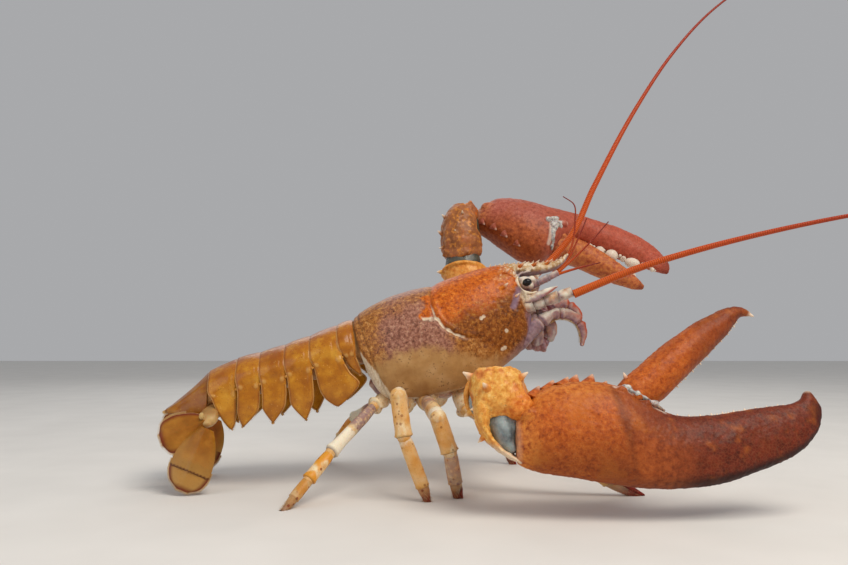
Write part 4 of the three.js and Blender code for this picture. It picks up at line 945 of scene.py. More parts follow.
# The tail: each joint is a point of the back's line, the lean of its plane, a half width and a height.
TAIL_BEND = (-62, 18, 96)
TAIL_JOINTS = np.array(
    [
        [-44.3, 97.9, 14, 22.4, 31],
        [-52.2, 94.9, 12.5, 25, 31],
        [-68.4, 88.4, 10, 25.8, 30],
        [-83.6, 83, 6.5, 25.4, 29],
        [-98.8, 78.2, 4, 24.2, 28],
        [-112.6, 74.6, 1, 22.4, 27],
        [-130.2, 66.6, 0, 18.6, 24],
    ]
)
ARCH_SHARE = 0.6
# The flap at the side of each tail segment: rows are depth below the back, shift backwards and half length.
PLEURA = {
    1: [[14, 0, 3.4], [22, 0, 3.4], [28, -1.4, 3], [33.5, -3.8, 0.9]],
    2: [[17, 0, 8.4], [28, -2.4, 10], [35.6, -4.8, 11.6], [41.4, -3.2, 7.4], [46.4, -1.6, 1]],
    3: [[17, 0, 8], [30, 0, 7.9], [37, 0.3, 7.2], [42.4, 0, 4.2], [47.2, -0.6, 0.8]],
    4: [[17, 0, 7.8], [29, 0.1, 7.7], [34.4, 0.8, 7], [38.8, 1.4, 4.2], [43.2, 2, 0.8]],
    5: [[17, 0, 7], [27, 0, 7], [32.4, 0.8, 6.4], [36.8, 2.2, 4], [41.2, 3.8, 0.8]],
    6: [[14, -0.6, 8.4], [23, -2.4, 6.9], [29, -4, 5.2], [34, -5.4, 3.2], [37.4, -6.2, 1.2]],
}


def bend_tail(points):
    """Turns the tail gently to the animal's right."""
    start, degrees, length = TAIL_BEND
    radius = length / math.radians(degrees)
    past = start - points[..., 0]
    turn = np.maximum(past, 0) / radius
    side = points[..., 1]
    bent = points.copy()
    bent[..., 0] = np.where(past > 0, start - (radius + side) * np.sin(turn), points[..., 0])
    bent[..., 1] = np.where(past > 0, side * np.cos(turn) - radius * (1 - np.cos(turn)), side)
    return bent


def bent(skin):
    skin.points = bend_tail(skin.points)
    return skin


def tail_frame(number, share):
    """The back's point, the ways down and back, half width and height, at shares of a segment's length"""
    share = np.asarray(share, float)[..., None]
    row = TAIL_JOINTS[number - 1] + (TAIL_JOINTS[number] - TAIL_JOINTS[number - 1]) * share
    lean = np.radians(row[..., 2])
    zero = np.zeros_like(lean)
    down = np.stack([np.sin(lean), zero, -np.cos(lean)], -1)
    back = np.stack([-np.cos(lean), zero, -np.sin(lean)], -1)
    return np.stack([row[..., 0], zero, row[..., 1]], -1), down, back, row[..., 3:4], row[..., 4:5]


def tail_plate(number):
    """One plate of the tail: an arch over the back that runs down into a flap on each side"""
    rows = np.array(PLEURA[number])
    start, end = TAIL_JOINTS[number - 1, :2], TAIL_JOINTS[number, :2]
    length = float(np.hypot(*(end - start)))
    arch, flap, steps = 46, 46, 40
    w = np.linspace(-1, 1, 2 * (arch + flap) + 1)[:, None]
    v = np.linspace(0, 1, steps)[None]
    over = clamp(np.abs(w) * 2)
    under = clamp(np.abs(w) * 2 - 1)
    turn = over * math.pi / 2
    height = TAIL_JOINTS[number - 1 : number + 1, 4].mean()
    wide = height * ARCH_SHARE
    deepest = rows[-1, 0]
    depth = wide * (1 - np.cos(turn) ** 0.9) + (deepest - wide) * under
    depth = depth + 0 * v
    span_depth = np.clip(depth, rows[0, 0], deepest)
    shift, half_length = column(rows, span_depth, 1), column(rows, span_depth, 2)
    half_length = half_length * (1 - 0.6 * smooth(deepest - 1.2, deepest, depth))
    lead, trail = (0.9 if number > 1 else 0.3), (1.5 if number < 6 else 0.4)
    share = v * (1 + (lead + trail) / length) - lead / length
    mix = smooth(wide - 7, wide + 5, depth)
    scale = spline([0, 0.12, 0.5, 0.86, 1], [0.945, 0.99, 1.035, 1.02, 1.005], v)[..., 0] + 0 * depth
    top, down, _, half, high = tail_frame(number, share + 0 * depth)
    side = half[..., 0] * np.sin(turn) ** 0.85 * (1 + (scale - 1) * (1 - 0.4 * under))
    lifted = high[..., 0] / 2 + (depth - high[..., 0] / 2) * scale
    plate = top + down * lifted[..., None]
    top, down, back, half, _ = tail_frame(number, 0.5 + 0 * depth)
    offset = shift + (2 * v - 1) * half_length
    hanging = top + down * depth[..., None] + back * offset[..., None]
    points = plate * (1 - mix[..., None]) + hanging * mix[..., None]
    bulge = 1.5 if number > 1 else -0.6
    flare = half[..., 0] + 0.35 + np.sin(under * math.pi * 0.8) * bulge - 1.3 * under**3
    flare = flare - 0.9 * (2 * v - 1) ** 2 * under
    side = side * (1 - mix) + flare * mix
    points[..., 1] += np.sign(w) * side
    run = 2 * np.minimum(v, 1 - v) * np.where(depth > wide, half_length, length / 2)
    edge = np.minimum(run, (deepest - depth) * 0.9)
    edge = np.where(v < 0.5, np.where(depth < wide + 4, 9, edge), edge)
    hinge = np.hypot(depth - wide - 1.5, (1 - v) * length - 2.5)
    hinge = np.minimum(hinge, np.hypot(depth - wide - 1.5, v * length - 2.5))
    # Cream round each hinge: pale shell, brightened as a painted highlight.
    cream = smooth(1.8, 0.7, hinge) * 0.6
    skin = lattice(points, around=False, edge=edge, top=1 - over, cream=cream)
    skin.turned((skin.normals()[:, 2] * (depth.ravel() < 6)).sum())
    curl = 0.55 * (1 - clamp(skin.marks["edge"] / 0.9)) ** 2
    ridge = 0.45 * smooth(2.6, 0.4, hinge).ravel()
    crease = -0.28 * bell(v - 0.24, 0.05) * smooth(2, 8, depth) * (1 - under)
    rough = 0.1 * noise(skin.points, 5, number) + 0.05 * noise(skin.points, 1.6, number)
    skin.push(ridge - curl + (crease + 0 * depth).ravel() + rough)
    return bent(skin)


def thicken(thing, millimetres):
    """Gives an open sheet its thickness, inwards."""
    solid = thing.modifiers.new("thickness", "SOLIDIFY")
    solid.thickness = millimetres * MM
    solid.offset = -1


def hinge_knobs(number):
    """The knobs on each side that two tail plates turn on, pale in part as a painted highlight"""
    knobs = []
    for sign in SIDES.values():
        top, down, _, half, high = tail_frame(number, 1.0)
        at = top + down * (high[0] * ARCH_SHARE + 1.6) + np.array([0, sign * (half[0] + 0.2), 0])
        knobs.append(ball(at, (0.9, 0.5, 0.8)).mark(cream=0.35, edge=5))
    return bent(joined(knobs))


def flap_fringe(number):
    """Fine hairs along the lower edge of each flap"""
    rows = np.array(PLEURA[number])
    top, down, back, half, _ = tail_frame(number, 0.5)
    roots, ways = [], []
    for sign, share, end in product(SIDES.values(), np.linspace(0.35, 1, 26), (-1, 1)):
        depth = rows[0, 0] + (rows[-1, 0] - rows[0, 0]) * share
        reach = value_at(rows, depth, 1) + end * value_at(rows, depth, 2) * 0.94
        roots.append(top + down * (depth - 0.6) + back * reach + [0, sign * (half[0] - 0.9), 0])
        ways.append(down * 0.8 + back * end * 0.4)
    return bent(hairs(np.array(roots), np.array(ways), 1.3, 0.09))


def swimmeret(number, sign):
    """A stalk with two paddles that hangs under the tail and leans back"""
    top, down, back, half, high = tail_frame(number, 0.5)
    root = top + down * (high[0] - 4) + SIDEWAYS * sign * half[0] * 0.5
    stalk = ((0, 0, 1.6, 2.2), (4, 0.6, 1.5, 2.4), (6.4, 1.4, 1.2, 2))
    rows = [[*(root + down * low + back * behind), thick, wide] for low, behind, thick, wide in stalk]
    parts = [limb(rows, SIDEWAYS, 12, 12, (0.6, 0.6)).mark(orange=0.3)]
    for spread, length in ((1.9, 9.4), (-1.6, 8.2)):
        start = root + down * 5.6 + back * 1.2 + SIDEWAYS * sign * spread * 0.5
        tip = start + down * length * 0.82 + back * length * 0.56 + SIDEWAYS * sign * spread * 0.9
        rows = tapered(start, tip, ((0, 1.2), (0.25, 2.3), (0.55, 2.6), (0.82, 2.0), (1, 0.6)), 0, 1)
        rows = [[x, y, z, 0.45, wide] for x, y, z, _, wide in rows]
        parts.append(limb(rows, back, 16, 14, (0.4, 0.4)).mark(orange=0.15))
    return bent(joined(parts))


def tail_plates():
    for number in range(1, 7):
        name = f"tail_plate_{number}"
        thing = piece(name, tail_plate(number), TAIL_SHELL, "tail_shell", f"abdomen_{number}")
        thicken(thing, 0.9)
        piece(f"{name}_fringe", flap_fringe(number), HAIR, "tail_shell")
        if number < 6:
            piece(f"tail_hinges_{number}", hinge_knobs(number), TAIL_SHELL, "tail_shell")
        if 1 < number < 6:
            pair = joined([swimmeret(number, sign) for sign in SIDES.values()])
            piece(f"swimmerets_{number}", pair, PALE_SHELL, "pale_shell")


def tail_core():
    """The soft body inside the plates, flat below and folded at every joint"""
    rings, sides = 150, 72
    place = np.linspace(-0.35, 5.98, rings)
    number = np.clip(np.floor(place).astype(int), 0, 5)
    share = place - number
    row = TAIL_JOINTS[number] + (TAIL_JOINTS[number + 1] - TAIL_JOINTS[number]) * share[:, None]
    lean = np.radians(row[:, 2])
    down = np.column_stack([np.sin(lean), 0 * lean, -np.cos(lean)])
    c, s = circle(sides)
    high, half = row[:, 4:5], row[:, 3:4]
    fold = 0.9 - 0.02 * np.cos(place[:, None] * 2 * math.pi)
    wide = high * ARCH_SHARE
    depth = np.where(s >= 0, wide - wide * np.abs(s) ** 0.9, wide + (high * 0.92 - wide) * np.abs(s) ** 0.55)
    depth = high / 2 + (depth - high / 2) * fold
    below = clamp(-s)
    bar = np.cos(place * 2 * math.pi)[:, None] * 1.2 * below
    across = half * fold * signed_power(c, 0.8)
    points = np.stack(np.broadcast_arrays(row[:, :1], across, row[:, 1:2]), -1)
    points = points + down[:, None] * (depth + bar)[..., None]
    skin = lattice(points, poles=[points[0].mean(0), points[-1].mean(0)])
    return bent(skin)


tail_plates()
piece("tail_core", tail_core(), TAIL_SKIN, "pale_shell")

# The tail fan: the telson, and on each side a short base with two blades
TELSON = [
    [0, 17.6, 20, 3.4],
    [0.2, 16.8, 19.4, 3.2],
    [0.45, 15.8, 16, 2.8],
    [0.7, 14.4, 10.6, 2.4],
    [0.9, 11.4, 4.6, 2],
    [1, 7.4, 1.6, 1.4],
]
TELSON_ROOT, TELSON_TIP = np.array([-130.4, 66, 0]), np.array([-155.4, 43.6, 46])


def telson():
    v = np.linspace(0, 1, 70)[:, None]
    w = np.linspace(-1, 1, 81)[None]
    half, hang = column(TELSON, v, 1), column(TELSON, v, 2)
    x, z, lean = (TELSON_ROOT[k] + (TELSON_TIP[k] - TELSON_ROOT[k]) * v for k in range(3))
    lean = np.radians(lean)
    turn = w * math.pi / 2
    depth = hang * (1 - np.cos(turn) ** 0.9)
    points = np.stack([x + np.sin(lean) * depth, half * np.sin(turn), z - np.cos(lean) * depth], -1)
    edge = np.minimum((1 - np.abs(w)) * 26, (1 - v) * 30)
    skin = lattice(points, around=False, edge=edge + 0 * w, top=0.7 * (1 - v) + 0 * w, dusk=0.8)
    skin.turned(skin.normals()[:, 2].sum())
    ribs = 0.5 * bell(np.abs(w) - 0.42, 0.08) * smooth(0.05, 0.3, v)
    sag = -0.7 * bell(w, 0.18) * smooth(0, 0.4, v)
    curl = 0.7 * (1 - clamp(skin.marks["edge"] / 1.2)) ** 2
    skin.push((ribs + sag).ravel() + 0.1 * noise(skin.points, 4) - curl)
    return skin, points


def blade_frame(root, tip, normal):
    along = tip - root
    across = unit(np.cross(along, normal))
    return along, across, unit(np.cross(across, along))


ENDOPOD = [[0, 3.4, 1.5], [0.16, 6.8, 1.3], [0.42, 9.6, 1.1], [0.7, 10.6, 1], [0.9, 8.6, 0.8], [1, 5, 0.5]]
EXOPOD = [
    [0, 4.6, 1.6],
    [0.14, 8, 1.4],
    [0.38, 11.6, 1.2],
    [0.62, 12.8, 1.1],
    [0.76, 12.4, 1],
    [0.9, 9.6, 0.8],
    [1, 5.4, 0.5],
]
# The blades on the left side: root, tip and the way out of the upper face
INNER_BLADE = [[-129.6, 23.4, 39.4], [-156, 25, 29.4], [-0.12, 0.95, 0.3]]
OUTER_BLADE = [[-129, 27.8, 35.4], [-142.4, 34, 2.8], [-0.18, 0.96, 0.1]]


def blade_half(rows, v):
    """The half width of a blade, drawn in at its rounded end"""
    return column(rows, v, 1) * np.sqrt(clamp(1 - smooth(0.9, 1.02, v) * 0.55))


def blade(root, tip, normal, rows, first=0.0, last=1.0, camber=1.5, thin=1.0, teeth=0.0, lift=0.0):
    """A flat blade with a raised rib, and the line of its edge with the way out of it"""
    along, across, out = blade_frame(root, tip, normal)
    length = np.linalg.norm(along)
    v = np.linspace(first, last, 64)[:, None]
    c, s = circle(96)
    half = blade_half(rows, v)
    thick = column(rows, v, 2) * thin
    saw = teeth * (np.abs((c * half / 1.1) % 2 - 1) - 0.5) * smooth(last - 0.06, last, v)
    share = v + saw / length
    rise = signed_power(s, 0.8) * thick * (1 - 0.55 * c**4) + camber * (0.5 - c * c) + lift
    rise = rise + 0.55 * bell(c, 0.16) * (1 - smooth(0.6, 1, v)) * (s > 0)
    points = root + along * share[..., None] + across * (c * half)[..., None] + out * rise[..., None]
    edge = np.minimum(half * (1 - np.abs(c)), (1 - v) * length * 0.9 if last > 0.99 else 99)
    seam = smooth(last - 0.035, last - 0.005, v) * (last < 0.99)
    pale = smooth(0.1, 0.9, v) + 0 * c
    poles = [points[0].mean(0), points[-1].mean(0)]
    skin = lattice(points, poles=poles, edge=edge, rim=1.0, seam=seam + 0 * c, pale=pale)
    skin.push(0.07 * noise(skin.points, 3))
    return skin


def blade_fringe(root, tip, normal, rows, first, camber=1.5, length=1.3):
    """Hairs round the rounded end of a blade"""
    along, across, out = blade_frame(root, tip, normal)
    reach = np.linalg.norm(along)
    v = np.linspace(first, 1, 60)
    half = blade_half(rows, v)
    end = np.column_stack([np.ones(24), np.linspace(-1, 1, 24) * half[-1]])
    edge = np.concatenate([np.column_stack([v, -half]), end, np.column_stack([v, half])[::-1]])
    roots, ways = [], []
    dense = np.linspace(0, len(edge) - 1, 250)
    line = spline(np.arange(len(edge)), edge, dense)
    step = np.gradient(line, axis=0) * [reach, 1]
    for (place, side), (run, drift) in zip(line, step):
        c = side / max(value_at(rows, place, 1), 1)
        roots.append(root + along * place + across * side + out * camber * (0.5 - min(c * c, 1)))
        ways.append(across * run - unit(along) * drift)
    ways = np.array(ways)
    ways = ways * np.sign((ways * (np.array(roots) - root - along * 0.5)).sum(1))[:, None]
    return hairs(np.array(roots), ways, length, 0.1)


def tail_fan():
    roof, grid = telson()
    thing = piece("telson_plate", bent(roof), TAIL_SHELL, "tail_shell", "telson")
    thicken(thing, 1.1)
    rim = np.concatenate([grid[20:, 0], grid[-1, ::2], grid[20:, -1][::-1]])
    outward = rim - np.array([-134, 0, 56])
    piece("telson_fringe", bent(hairs(rim, outward, 1.6, 0.1)), HAIR, "tail_shell")
    for side, sign in SIDES.items():
        at = np.array([1, sign, 1])
        a, b = np.array([-126.4, 13, 45.4]) * at, np.array([-129.2, 24.5, 38]) * at
        stops = ((-0.2, 0.6), (0.05, 0.95), (0.6, 1.04), (1.0, 0.78), (1.1, 0.5))
        rows = tapered(a, b, stops, 5.6, 3.8)
        base = limb(rows, (1, 0, 0.5), 40, 30, (1, 0.8), power=0.9)
        base.mark(edge=8, cream=smooth(0.6, 0.95, base.marks["share"]) * 0.3 + 0.22)
        base.push(0.5 * noise(base.points, 4) + 0.2 * noise(base.points, 1.8))
        knob = ball(np.array([-132.4, 26.4, 42.4]) * at, (1.6, 1.2, 2)).mark(cream=0.5, edge=8)
        piece(f"fan_base_{side}", bent(joined([base, knob])), FAN_SHELL, "tail_shell", f"uropod_base_{side}")
        inner, outer = [*(INNER_BLADE * at), ENDOPOD], [*(OUTER_BLADE * at), EXOPOD]
        inside = blade(*inner)
        inside.marks["pale"] *= 0.15
        piece(f"inner_blade_{side}", bent(inside), FAN_SHELL, "tail_shell", f"uropod_inner_{side}")
        parts = [blade(*outer, last=0.7, teeth=1.0, lift=0.25), blade(*outer, first=0.55, thin=0.6)]
        parts[0].marks["rim"] *= 0.0
        piece(f"outer_blade_{side}", bent(joined(parts)), FAN_SHELL, "tail_shell", f"uropod_outer_{side}")
        fringe = [blade_fringe(*inner, first=0.35), blade_fringe(*outer, first=0.6, length=1.2)]
        piece(f"blade_fringe_{side}", bent(joined(fringe)), HAIR, "tail_shell")


tail_fan()


# The head's appendages, in the body's frame


def thorned_limb(rows, sign, up=(0.3, 0, 1), rings=40, sides=24, ends=(0.5, 0.5)):
    return limb(body_rows(rows, sign), up, rings, sides, ends)


def article(a, b, start, end, up=(0, 0, 1), flat=0.9, lip=1.14, sides=22, head=0.82):
    """One stiff length of a jointed limb, narrower where it leaves the joint and flared at its far end"""
    a, b = np.asarray(a, float), np.asarray(b, float)
    shares = np.array([-0.06, 0.02, 0.14, 0.5, 0.84, 0.94, 0.985, 1.0])
    widths = np.array([head * 0.8, head, (head + 1) / 2, 1.0, 1.02, lip, lip * 1.02, lip * 0.86])
    size = (start + (end - start) * shares) * widths
    rows = np.column_stack([a + shares[:, None] * (b - a), size, size * flat])
    return limb(rows, up, 30, sides, (start * 0.4 * head, end * 0.12))


EYE = np.array([110.6, 14, 11.8])


def eye(side, sign):
    stalk = [
        [105, 4.5, 13, 2.8, 3],
        [107.4, 7.6, 12.8, 3.2, 3.6],
        [109.4, 10.2, 12.4, 3.6, 4.1],
        [110.4, 12.2, 12, 3.6, 4.3],
        [110.6, 13.6, 11.9, 2.9, 3.7],
    ]
    lobes = [(114.4, 11.6, 12.6, 2.4), (112.4, 12.6, 9.4, 2.2), (108.2, 13.2, 14.4, 1.7)]
    parts = [thorned_limb(stalk, sign, rings=36, sides=36, ends=(0.5, 1.2))]
    parts += [ball(body(a, sign * b, c), r) for a, b, c, r in lobes]
    skin = fuse(parts, 0.4, 3)
    skin.push(0.14 * noise(skin.points, 1.8))
    near = np.abs(skin.points[:, 1])
    # Painted shade: faces turned down lose their cream and turn mauve.
    below = smooth(0.2, -0.6, skin.normals() @ UPWARD)
    skin.mark(
        cream=smooth(9.5, 12, near) * (0.55 + 0.35 * noise(skin.points, 1.6, 3)) * (1 - 0.7 * below),
        mauve=clamp(smooth(12.5, 9, near) * 0.8 + 0.35 * below + 0.25 * noise(skin.points, 2.4, 5)),
    )
    piece(f"eye_stalk_{side}", skin, PALE_SHELL, "pale_shell", f"eyestalk_{side}")
    axes = np.stack([FORWARD, [0, sign, 0], UPWARD])
    centre = body(EYE[0] + 0.2, sign * (EYE[1] - 0.1), EYE[2] + 0.1)
    cornea = ball(centre, (3.0, 2.7, 2.35), 30, 40, axes)
    piece(f"eye_{side}_cornea", cornea, EYE_BLACK, "eye_black", f"eye_{side}")


FEELERS = {
    "right": {
        "base": [
            [103, 11.8, -2.4, 4.8],
            [110.6, 13.2, -1.8, 4.7],
            [117.2, 14, -1.8, 4],
            [126, 15.6, -1.8, 3.7],
            [134.4, 17, -1.4, 3.1],
        ],
        "path": [
            [88.8, -17.2, 112.4],
            [106, -21, 119.6],
            [124.7, -26, 126.9],
            [156, -34, 136.4],
            [190, -45, 144.6],
            [226, -58, 151.4],
            [264, -72, 156.2],
            [302, -88, 158.4],
            [338, -106, 158.6],
        ],
    },
    "left": {
        "base": [
            [103, 11.8, -4, 5],
            [110, 13.2, -2.4, 4.9],
            [114.6, 14.4, 2.4, 4.3],
            [119, 16, 9.6, 3.9],
            [121.6, 17.4, 16.4, 3.2],
        ],
        "path": [
            [71.4, 17.8, 127.4],
            [81, 18.8, 136],
            [94, 20.4, 151],
            [112, 26, 186],
            [144.4, 38, 243],
            [174.8, 48, 287],
            [207.7, 58, 323],
            [242, 67, 349],
            [276, 75, 366],
        ],
    },
}
FLAGELLUM_ROOT, FLAGELLUM_END = 2.45, 0.55
# The articles of an antenna's base: how thick each starts and ends, and how orange and how pale it is
ANTENNA_ARTICLES = [
    [1.08, 1.06, 0.9, 0.35],
    [1.0, 0.98, 0.3, 0.4],
    [0.94, 0.98, 0.9, 0.3],
    [0.94, 1.02, 0.5, 0.5],
]


def ringed(path, root, end, step, power=1.0, sides=12):
    """A whip of short rings. Rows of the path are x, y and z."""
    path = np.asarray(path, float)
    chord = np.append(0, np.cumsum(np.linalg.norm(np.diff(path, axis=0), axis=1)))
    count = int(chord[-1] / step) * 5
    place = np.linspace(0, 1, count)
    centre = spline(chord, path, place * chord[-1])
    turn = place * chord[-1] / step
    swell = 1 + 0.045 * (np.abs(turn % 1 - 0.5) < 0.34)
    radius = (end + (root - end) * (1 - place) ** power) * swell
    skin = limb(np.column_stack([centre, radius]), (0, 1, 0), count, sides, (0.3, end), 3)
    share = skin.marks["share"]
    return skin.mark(reach=share, ring=share * chord[-1] / step)


def antenna(side, sign):
    base, path = FEELERS[side]["base"], FEELERS[side]["path"]
    joints = body_rows(base, sign)
    parts = []
    for a, b, (near, far, orange, pale) in zip(joints[:-1], joints[1:], ANTENNA_ARTICLES):
        part = article(a[:3], b[:3], a[3] * near, b[3] * far, (0.2, 1, 0.4), 0.95, 1.07, 28, 0.78)
        share = part.marks["share"]
        # Painted shade: mauve on the faces turned down and at each article's root in its joint.
        below = smooth(0.4, -0.7, part.normals() @ UPWARD)
        part.mark(
            orange=orange * smooth(0.15, 0.5, share) * smooth(1.0, 0.8, share),
            cream=clamp(pale * (0.8 + 1.5 * noise(part.points, 2.2, 7))),
            mauve=clamp(smooth(0.35, 0.05, share) * 0.8 + below * 0.8),
            ring=smooth(0.965, 0.99, share) * 0.7,
        )
        parts.append(part)
    for joint, out, radius in ((1, 3.6, 1.3), (2, 3.4, 1.1)):
        end = joints[joint, :3] + np.array([0, sign * out, 0.6])
        parts.append(spine(end - [0.5, sign * 1.4, 0], end + FORWARD * 3.4 + [0, sign * 0.8, 0.8], radius))
    cheek = ball(body(108, sign * 14, 3), (3.4, 3, 4), 24, 30).mark(cream=0.4, orange=0.5)
    skin = joined([*parts, cheek])
    skin.push(0.22 * noise(skin.points, 2.2) + 0.1 * noise(skin.points, 0.9))
    piece(f"antenna_articles_{side}", skin, PALE_SHELL, "pale_shell", f"antenna_base_{side}")
    whip = ringed(path, FLAGELLUM_ROOT, FLAGELLUM_END, 1.2, 1.5)
    nodes = f"antenna_flagellum_{side}", f"antenna_tip_{side}"
    piece(f"antenna_whip_{side}", whip, FEELER_SHELL, "feeler", *nodes)


# The scale: along, side and up, then half thickness and half width
SCALE = [
    [106.5, 15.4, 1.2, 1.6, 2.2],
    [112, 17, 1.9, 1.5, 2.9],
    [118, 18.4, 2.9, 1.2, 2.3],
    [123, 19.2, 3.6, 0.9, 1.4],
    [126.4, 19.7, 4, 0.4, 0.4],
]


def scale(side, sign):
    """The pointed scale beside the antenna, with mauve painted shade on its lower half"""
    skin = thorned_limb(SCALE, sign, (0, sign * 1.2, 1), 30, 24, (0.6, 0.3))
    share = skin.marks["share"]
    along, _, up = body_place(skin.points)
    level = (up - column(SCALE, along, 2)) / column(SCALE, along, 4)
    # Painted shade: the lower half of the scale turns mauve and loses its cream.
    low = smooth(0.35, -0.35, level + 0.3 * noise(skin.points, 2.2, 2))
    skin.mark(
        cream=clamp((0.45 + 0.5 * noise(skin.points, 2.4, 4)) * (1 - low)),
        mauve=low * 0.85,
        red=smooth(0.4, 0.8, share) * low * 0.7,
        orange=smooth(0.6, 0.1, share) * 0.8,
    )
    skin.push(0.15 * noise(skin.points, 1.8))
    piece(f"antenna_scale_{side}_blade", skin, PALE_SHELL, "pale_shell", f"antenna_scale_{side}")


ANTENNULE_STEM = [
    [105, 4, 9, 2.3],
    [113, 5, 9.4, 2.5],
    [119, 5.4, 10, 2.2],
    [126, 5.8, 11.2, 2.2],
    [132, 6.2, 12.2, 1.8],
]
ANTENNULE_THREADS = {
    "right": [
        [[130, 6, 11.6], [145, 8, 18.4], [158, 10, 25.4], [169.5, 12, 32.6]],
        [[130, 6.2, 11.4], [140, 8, 11.4], [148, 10, 11], [157, 12, 10.4]],
    ],
    "left": [
        [[130, 6, 12.4], [147, 8, 24.6], [155.6, 9, 41], [158.4, 10, 52], [153.8, 11, 58.6]],
        [[130, 6.2, 12], [142, 6.6, 18], [153, 7, 29], [162.7, 7, 40.4]],
    ],
}


def antennule(side, sign):
    stem = body_rows(ANTENNULE_STEM, sign)
    parts = []
    for a, b in zip(stem[:-1], stem[1:]):
        part = article(a[:3], b[:3], a[3], b[3], (0, 0.2, 1), 0.95, 1.12, 20)
        # Painted highlight: cream on the faces turned up.
        above = smooth(0, 0.8, part.normals() @ UPWARD)
        part.mark(mauve=0.75 + 0.4 * noise(part.points, 2, 3), cream=0.3 * above)
        parts.append(part)
    piece(f"antennule_{side}_stem", joined(parts), PALE_SHELL, "pale_shell")
    parts = []
    for path in ANTENNULE_THREADS[side]:
        line = body_rows(np.column_stack([path, np.zeros(len(path))]), sign)[:, :3]
        parts.append(ringed(line, 0.95, 0.3, 1.0, sides=8))
    piece(f"antennule_{side}_threads", joined(parts), FEELER_SHELL, "feeler", f"antennule_{side}")


MAXILLIPEDS = {
    "right": [
        [92, 12, -24, 3.8, 3.2],
        [98, 13, -21, 4.2, 3.4],
        [105, 13.6, -16.6, 4.3, 3.4],
        [112, 13.4, -13, 4, 3],
        [119, 12.6, -11.2, 3.6, 2.7],
        [126, 11.6, -12.4, 3.3, 2.5],
        [131.6, 10.8, -16, 3.1, 2.3],
        [134.6, 10.2, -21.6, 2.8, 2],
        [134.4, 9.6, -28, 2.2, 1.7],
        [131.8, 9.2, -33.6, 1.2, 1],
    ],
    "left": [
        [92, 12, -24, 3.8, 3.2],
        [98, 13, -21, 4.2, 3.4],
        [105, 13.6, -16, 4.3, 3.4],
        [112, 13.8, -11, 4, 3],
        [120, 13.4, -7, 3.6, 2.7],
        [128, 12.6, -5.4, 3.2, 2.5],
        [134.4, 12, -7.4, 3, 2.3],
        [138.4, 11.6, -11.8, 2.6, 2],
        [140, 11.2, -17, 2, 1.6],
        [139, 11, -21.4, 1.1, 1],
    ],
}


def maxilliped(side, sign):
    """The third maxilliped: stout articles that curve forward and down, with a fringe inside the curve"""
    rows = body_rows(MAXILLIPEDS[side], sign)
    skin = limb(rows, (1, 0, 0.4), 120, 26, (0.5, 0.8))
    share = skin.marks["share"]
    joints = np.min([np.abs(share - at) for at in (0.36, 0.56, 0.78)], axis=0)
    skin.push(-0.9 * bell(joints, 0.012) + 0.4 * bell(joints - 0.03, 0.015)).rough((0.22, 2.5), (0.1, 1.1))
    # Painted light and shade: cream on the faces turned up and mauve on those turned back and down; the red
    # of the outer side is colour.
    outward = skin.normals() @ np.array([0.8, 0, 0.6])
    above = smooth(0, 0.7, skin.normals()[:, 2])
    skin.mark(
        red=smooth(0.55, 0.78, share) * smooth(-0.1, 0.5, outward),
        ring=smooth(0.01, 0.003, joints) * 0.7,
        mauve=clamp(0.3 + smooth(0.42, 0.25, share) * 0.5 + 0.7 * smooth(0.1, -0.6, outward)),
        cream=smooth(0.34, 0.46, share) * smooth(0.8, 0.6, share) * above * 0.7,
    )
    line = spline(np.arange(len(rows)), rows, np.linspace(3.5, len(rows) - 1.2, 110))
    tangent = unit(np.gradient(line[:, :3], axis=0))
    inward = unit(np.cross([0, 1, 0], tangent))
    roots = line[:, :3] + inward * line[:, 3:4] * 0.9
    hair = []
    for side_step in (-1.2, 0, 1.2):
        ways = inward + tangent * 0.3 + SIDEWAYS * side_step * 0.3
        hair.append(hairs(roots + SIDEWAYS * side_step, ways, 1.2, 0.09))
    piece(f"maxilliped_{side}_shell", skin, PALE_SHELL, "pale_shell", f"maxilliped_{side}")
    piece(f"maxilliped_{side}_fringe", joined(hair), HAIR, "pale_shell")


# The mouth: a core on the middle line, a lobe under each side and two flaps over it
MOUTH_CORE = [
    [100, 0, -9, 10, 11],
    [107, 0, -11.6, 10, 11],
    [112, 0, -14.6, 9.4, 9.6],
    [116, 0, -18, 7, 7.6],
    [118, 0, -21, 4.2, 4.6],
]
MOUTH_LOBE = [[99, 5, -20, 5, 4.4], [106, 5.4, -24, 5.2, 4.2], [111, 5.2, -28, 4, 3]]
MOUTH_FLAPS = [
    [[104, 11, -3, 3, 1.4], [107, 12.4, -10, 4.2, 1.6], [107.6, 12, -18, 4.4, 1.6], [106, 10, -25, 3, 1.2]],
    [[112, 8, -6, 2.4, 1.6], [116, 9.4, -13, 3.6, 1.6], [117, 9, -20, 3.6, 1.5], [115, 7, -25.4, 2, 1]],
]


